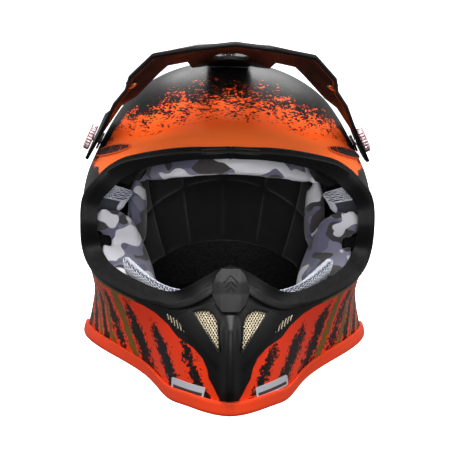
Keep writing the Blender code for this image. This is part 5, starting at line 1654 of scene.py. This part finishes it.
def make_peak_lip():
    """The rolled edge round the front of the peak."""
    half = [(0, -234, 297), (30, -230.5, 293.3), (62, -215, 287), (81, -175, 268), (85, -145, 256),
            (96, -112, 242)]
    half = np.array(half, float)
    fine = []
    for a, b in zip(half, half[1:]):
        fine += [a + (b - a) * s for s in (0.0, 0.04, 0.12, 0.3, 0.5, 0.7, 0.88, 0.96)]
    fine.append(half[-1])
    fine = np.array(fine)
    fine[1:-1] = (fine[:-2] + 2 * fine[1:-1] + fine[2:]) / 4
    path = np.concatenate([fine[:0:-1] * (-1, 1, 1), fine]) * MM + (0, HEAD_Y + 1.5 * MM, -1.6 * MM)
    path[:, 0] *= 0.985
    rings = tube(path, 2.1 * MM, 12)
    lip = loft("peak_lip", rings, "housing", body="peak")


def panel_point(sign):
    a, b, c = (np.array(p, float) * MM for p in (PEAK_ROWS[1][2], PEAK_ROWS[1][3], PEAK_ROWS[2][3]))
    spot = 0.12 * a + 0.2 * b + 0.68 * c
    normal = np.cross(b - a, c - a)
    normal *= math.copysign(1 / np.linalg.norm(normal), normal[2])
    mirror = np.array([sign, 1, 1])
    return Vector(spot * mirror) + Vector((0, HEAD_Y, 0)), Vector(normal * mirror)


def turned(name, outline, place, finish, body, segments=48, flutes=0, depth=0.0, sharp=40):
    """Turned about place's z from rows of (radius, height, fluted share) that start and end on it."""
    angles = np.arange(segments) / segments * 2 * math.pi
    points, rows = [], []
    for radius, height, share in outline:
        if radius == 0:
            rows.append([len(points)])
            points.append(place @ Vector((0, 0, height)))
            continue
        start = len(points)
        wave = 1 - depth * share * (0.5 + 0.5 * np.cos(flutes * angles)) ** 2
        points += [place @ Vector((radius * w * math.cos(a), radius * w * math.sin(a), height))
                   for a, w in zip(angles, wave)]
        rows.append(list(range(start, start + segments)))
    faces = []
    for first, second in zip(rows, rows[1:]):
        for i in range(segments):
            j = (i + 1) % segments
            if len(first) == 1:
                faces.append((first[0], second[j], second[i]))
            elif len(second) == 1:
                faces.append((first[i], first[j], second[0]))
            else:
                faces.append((first[i], first[j], second[j], second[i]))
    return add_mesh(name, points, faces, finish, body, True, sharp)


def make_screws():
    r, h, lift = SCREW_RADIUS, SCREW_HEAD, SCREW_LIFT
    for side, sign in (("left", 1), ("right", -1)):
        head = [(0, -23 * MM, 0), (2.1 * MM, -23 * MM, 0), (2.5 * MM, -22.4 * MM, 0), (2.5 * MM, lift, 0),
                (r * 0.9, lift, 0.4), (r * 0.99, lift + 0.5 * MM, 1), (r, lift + 1.1 * MM, 1),
                (r, lift + h - 1.5 * MM, 1),
                (r * 0.97, lift + h - 0.7 * MM, 1), (r * 0.86, lift + h, 0.6), (r * 0.66, lift + h, 0),
                (r * 0.62, lift + h - 0.6 * MM, 0), (r * 0.34, lift + h - 0.6 * MM, 0),
                (r * 0.3, lift + h - 3 * MM, 0),
                (0, lift + h - 3 * MM, 0)]
        screw = turned(f"knurled_screw_{side}", head, side_screw_place(sign), "alloy",
                       f"side_screw_{side}", 144, 24, 0.085)
        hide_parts(f"side_screw_{side}")
        spot, out = panel_point(sign)
        wall = PEAK_WALL + FIT_GAP
        spool = [(0, -wall - 1.4 * MM, 0), (2.4 * MM, -wall - 1.35 * MM, 0), (3.6 * MM, -wall - 0.9 * MM, 0),
                 (4 * MM, -wall - 0.1 * MM, 0), (1.8 * MM, -wall, 0), (1.8 * MM, FIT_GAP, 0),
                 (4 * MM, FIT_GAP, 0),
                 (3.7 * MM, 1.1 * MM, 0), (2.4 * MM, 1.6 * MM, 0), (1.0 * MM, 1.65 * MM, 0),
                 (0.8 * MM, 1.2 * MM, 0),
                 (0, 1.15 * MM, 0)]
        rivet = turned(f"side_rivet_{side}", spool, aim(spot, out), "brass", "peak", 32)
        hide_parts(f"peak_rivet_{side}")
    c, k, lift = CROWN_SCREW_RADIUS, CROWN_SCREW_HEAD, FIT_GAP
    head = [(0, -20 * MM, 0), (2.1 * MM, -20 * MM, 0), (2.5 * MM, -19.4 * MM, 0), (2.5 * MM, lift, 0),
            (c * 0.95, lift, 0), (c, lift + 0.4 * MM, 0), (c, lift + k * 0.6, 0),
            (c * 0.92, lift + k * 0.88, 0),
            (c * 0.75, lift + k, 0), (c * 0.42, lift + k, 0), (c * 0.38, lift + k - 1.6 * MM, 0),
            (0, lift + k - 1.6 * MM, 0)]
    screw = turned("top_screw", head, crown_screw_place(), "alloy", "crown_screw", 72, 6, 0.0)
    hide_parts("crown_screw")


def make_crown_seat():
    y = np.linspace(-34, 9, 44) * MM
    x = np.linspace(-17, 17, 35) * MM
    top = np.empty((len(y), len(x), 3))
    top[..., 0], top[..., 1] = x[None, :], y[:, None] + HEAD_Y
    in_groove = np.abs(np.sin(y / MM * math.pi / 3.4)) > 0.82
    off_middle = np.abs(x) > 8 * MM
    groove = 0.25 * MM * in_groove[:, None] * off_middle[None, :]
    top[..., 2] = crown_arc(PEAK_SEAT_RADIUS, y)[:, None] - groove
    foot = strike(top.reshape(-1, 3), (0, 0, 1), 0.3, 0.08, -0.25 * MM).reshape(top.shape)
    seat = slab("peak_seat", top, foot, "rubber", sharp=40)
    carve(seat, [drill_cutter(crown_screw_place(), 2.9 * MM, -16 * MM, 4 * MM)])
    bevel(seat, 0.5 * MM, 2, 60)
    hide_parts("crown_seat")


# ---------------------------------------------------------------- chin strap
def strap_path(sign, tail):
    phi = sign * STRAP_PHI
    heights = np.array([66, 57, 49]) * MM
    t = t_at_height(np.full(3, phi), heights, STRAP_INSET)
    down = skin(np.full(3, phi), t, STRAP_INSET)
    rest = np.array([(sign * x * MM, down[-1, 1], z * MM) for x, z in tail])
    path = np.concatenate([down, rest])
    path[:, 1] = down[-1, 1]
    rows = np.column_stack([np.arange(len(path)), path])
    return smooth_through(rows)(np.linspace(0, len(path) - 1, 12 * len(path)))


def ribbon_rings(path, closed=False):
    """Webbing with rounded selvedges along a path in the xz plane, its width along y."""
    path = np.array(path, float)
    step = np.roll(path, -1, axis=0) - np.roll(path, 1, axis=0) if closed else np.gradient(path, axis=0)
    normal = np.column_stack([step[:, 2], np.zeros(len(path)), -step[:, 0]])
    normal /= np.linalg.norm(normal, axis=1, keepdims=True)
    share = np.concatenate([np.linspace(-1, 1, 17), np.linspace(1, -1, 17)])
    side = np.where(np.arange(34) < 17, -1.0, 1.0)
    rounded_edge = np.sqrt(np.clip(1 - np.abs(share) ** 14, 0.12, 1))
    sewn_line = 1 - 0.18 * np.exp(-((np.abs(share) - 0.8) / 0.07) ** 2)
    thin = rounded_edge * sewn_line
    across = share * STRAP_WIDTH / 2
    out = side * thin * STRAP_THICK / 2 * 0.98
    return path[:, None] + across[None, :, None] * np.array([0, 1, 0]) + out[None, :, None] * normal[:, None]


def make_straps():
    bar = RING_WIRE + FIT_GAP
    top = RING_Z + (bar + STRAP_THICK / 2) / MM
    short = strap_path(1, [(110.8, 40), (110.6, 31), (105, 24.5), (97, 27.5),
                           (RING_X + RING_SPREAD / MM / 2, top)])
    long = strap_path(-1, [(110.8, 40), (110.4, 30), (106, 17), (96, 7.5), (84, 3), (60, 1.6), (35, 1.6),
                           (10, 1.6),
                           (-15, 1.6)])
    middle = np.array([RING_X * MM, short[0, 1], RING_Z * MM])
    radius = bar + STRAP_THICK / 2
    turn = np.linspace(-math.pi / 2, math.pi / 2, 24)
    loop = [(RING_SPREAD / 2 + radius * math.cos(a), radius * math.sin(a)) for a in turn]
    loop += [(-x, -z) for x, z in loop]
    loop = middle + np.array([(x, 0, z) for x, z in loop])
    parts = [(ribbon_rings(short), False), (ribbon_rings(loop, True), True)]
    points, faces, base = [], [], 0
    for rings, closed in parts:
        points.append(rings.reshape(-1, 3))
        faces += ring_faces(len(rings), rings.shape[1], closed, base)
        base += rings.shape[0] * rings.shape[1]
    strap = add_mesh("chin_strap_left", np.concatenate(points), faces, "webbing", sharp=60)
    tail = loft("chin_strap_right", ribbon_rings(long), "webbing", sharp=60)
    for obj, node in ((strap, "strap_left"), (tail, "strap_right")):
        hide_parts(node)
    make_stitches("strap_stitch_left", short, -10)
    make_stitches("strap_stitch_right", long, -6)
    make_rings(middle)
    for side, sign in (("left", 1), ("right", -1)):
        phi = sign * (STRAP_PHI + np.radians(np.linspace(-6.5, 6.5, 15)))
        z = np.linspace(67.5, 82, 11) * MM
        grids = [skin(phi[:, None], t_at_height(np.broadcast_to(phi[:, None], (15, 11)), z, inset), inset)
                 for inset in (SHELL_WALL + FIT_GAP, SHELL_WALL + FIT_GAP + 2.2 * MM)]
        plate = slab(f"strap_anchor_{side}", grids[0], grids[1], "steel")
        bevel(plate, 0.4 * MM, 2, 60)
        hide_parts(f"strap_plate_{side}")


def make_stitches(name, path, at):
    """A box of short stitches near the end of a strap."""
    centre, ahead = path[at], path[at + 3] - path[at - 3]
    ahead /= np.linalg.norm(ahead)
    up = np.array([-ahead[2], 0, ahead[0]])
    if up[2] < 0:
        up = -up
    paths = []
    for across in np.linspace(-9, 9, 7) * MM:
        for along in (-5 * MM, 0, 5 * MM):
            start = centre + ahead * along + np.array([0, across, 0]) + up * STRAP_THICK * 0.5
            paths.append([start, start + np.array([0, 0.9 * MM, 0]) + up * 0.25 * MM,
                          start + np.array([0, 1.9 * MM, 0])])
    stitch = add_tubes(name, paths, 0.3 * MM, "thread", sides=5)


def make_rings(middle):
    half, depth, corner = RING_HALF, RING_DEPTH, RING_WIRE * 1.6
    quarter = np.linspace(0, math.pi / 2, 9)
    bend = [(half - corner * (1 - math.sin(a)), -corner * (1 - math.cos(a))) for a in quarter]
    bow = [(half * math.cos(a) ** 0.8, -corner - (depth - corner) * math.sin(a))
           for a in np.linspace(0.12, math.pi / 2, 18)]
    right = bend + bow
    path = np.array(right + [(-y, z) for y, z in reversed(right[:-1])])
    for name, node, shift in (("ring_inner", "d_ring_inner", -1), ("ring_outer", "d_ring_outer", 1)):
        centre = middle + np.array([shift * RING_SPREAD / 2, 0, 0])
        points = np.column_stack([np.zeros(len(path)), path]) + centre
        made = loft(name, tube(points, RING_WIRE * 0.98, 16, True), "steel", closed=True, body=node)
        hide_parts(node)


def dress_nodes():
    """The small moulded and turned CAD pieces keep their shape and take a finish."""
    finish = {"side_boss_left": "housing", "side_boss_right": "housing", "side_insert_left": "brass",
              "side_insert_right": "brass", "crown_insert": "brass"}
    for name, key in finish.items():
        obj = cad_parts[name]
        obj.data.materials.clear()
        obj.data.materials.append(material[key])


# ---------------------------------------------------------------- the whole helmet
make_camera()
make_studio()
material.update(make_materials())
make_shell()
make_gasket()
make_edge_trim()
make_foams()
make_pads()
make_neck_roll()
make_chin_vent()
make_nose_guard()
make_vents()
make_labels()
make_peak()
make_screws()
make_crown_seat()
make_straps()
dress_nodes()

bpy.context.view_layer.update()
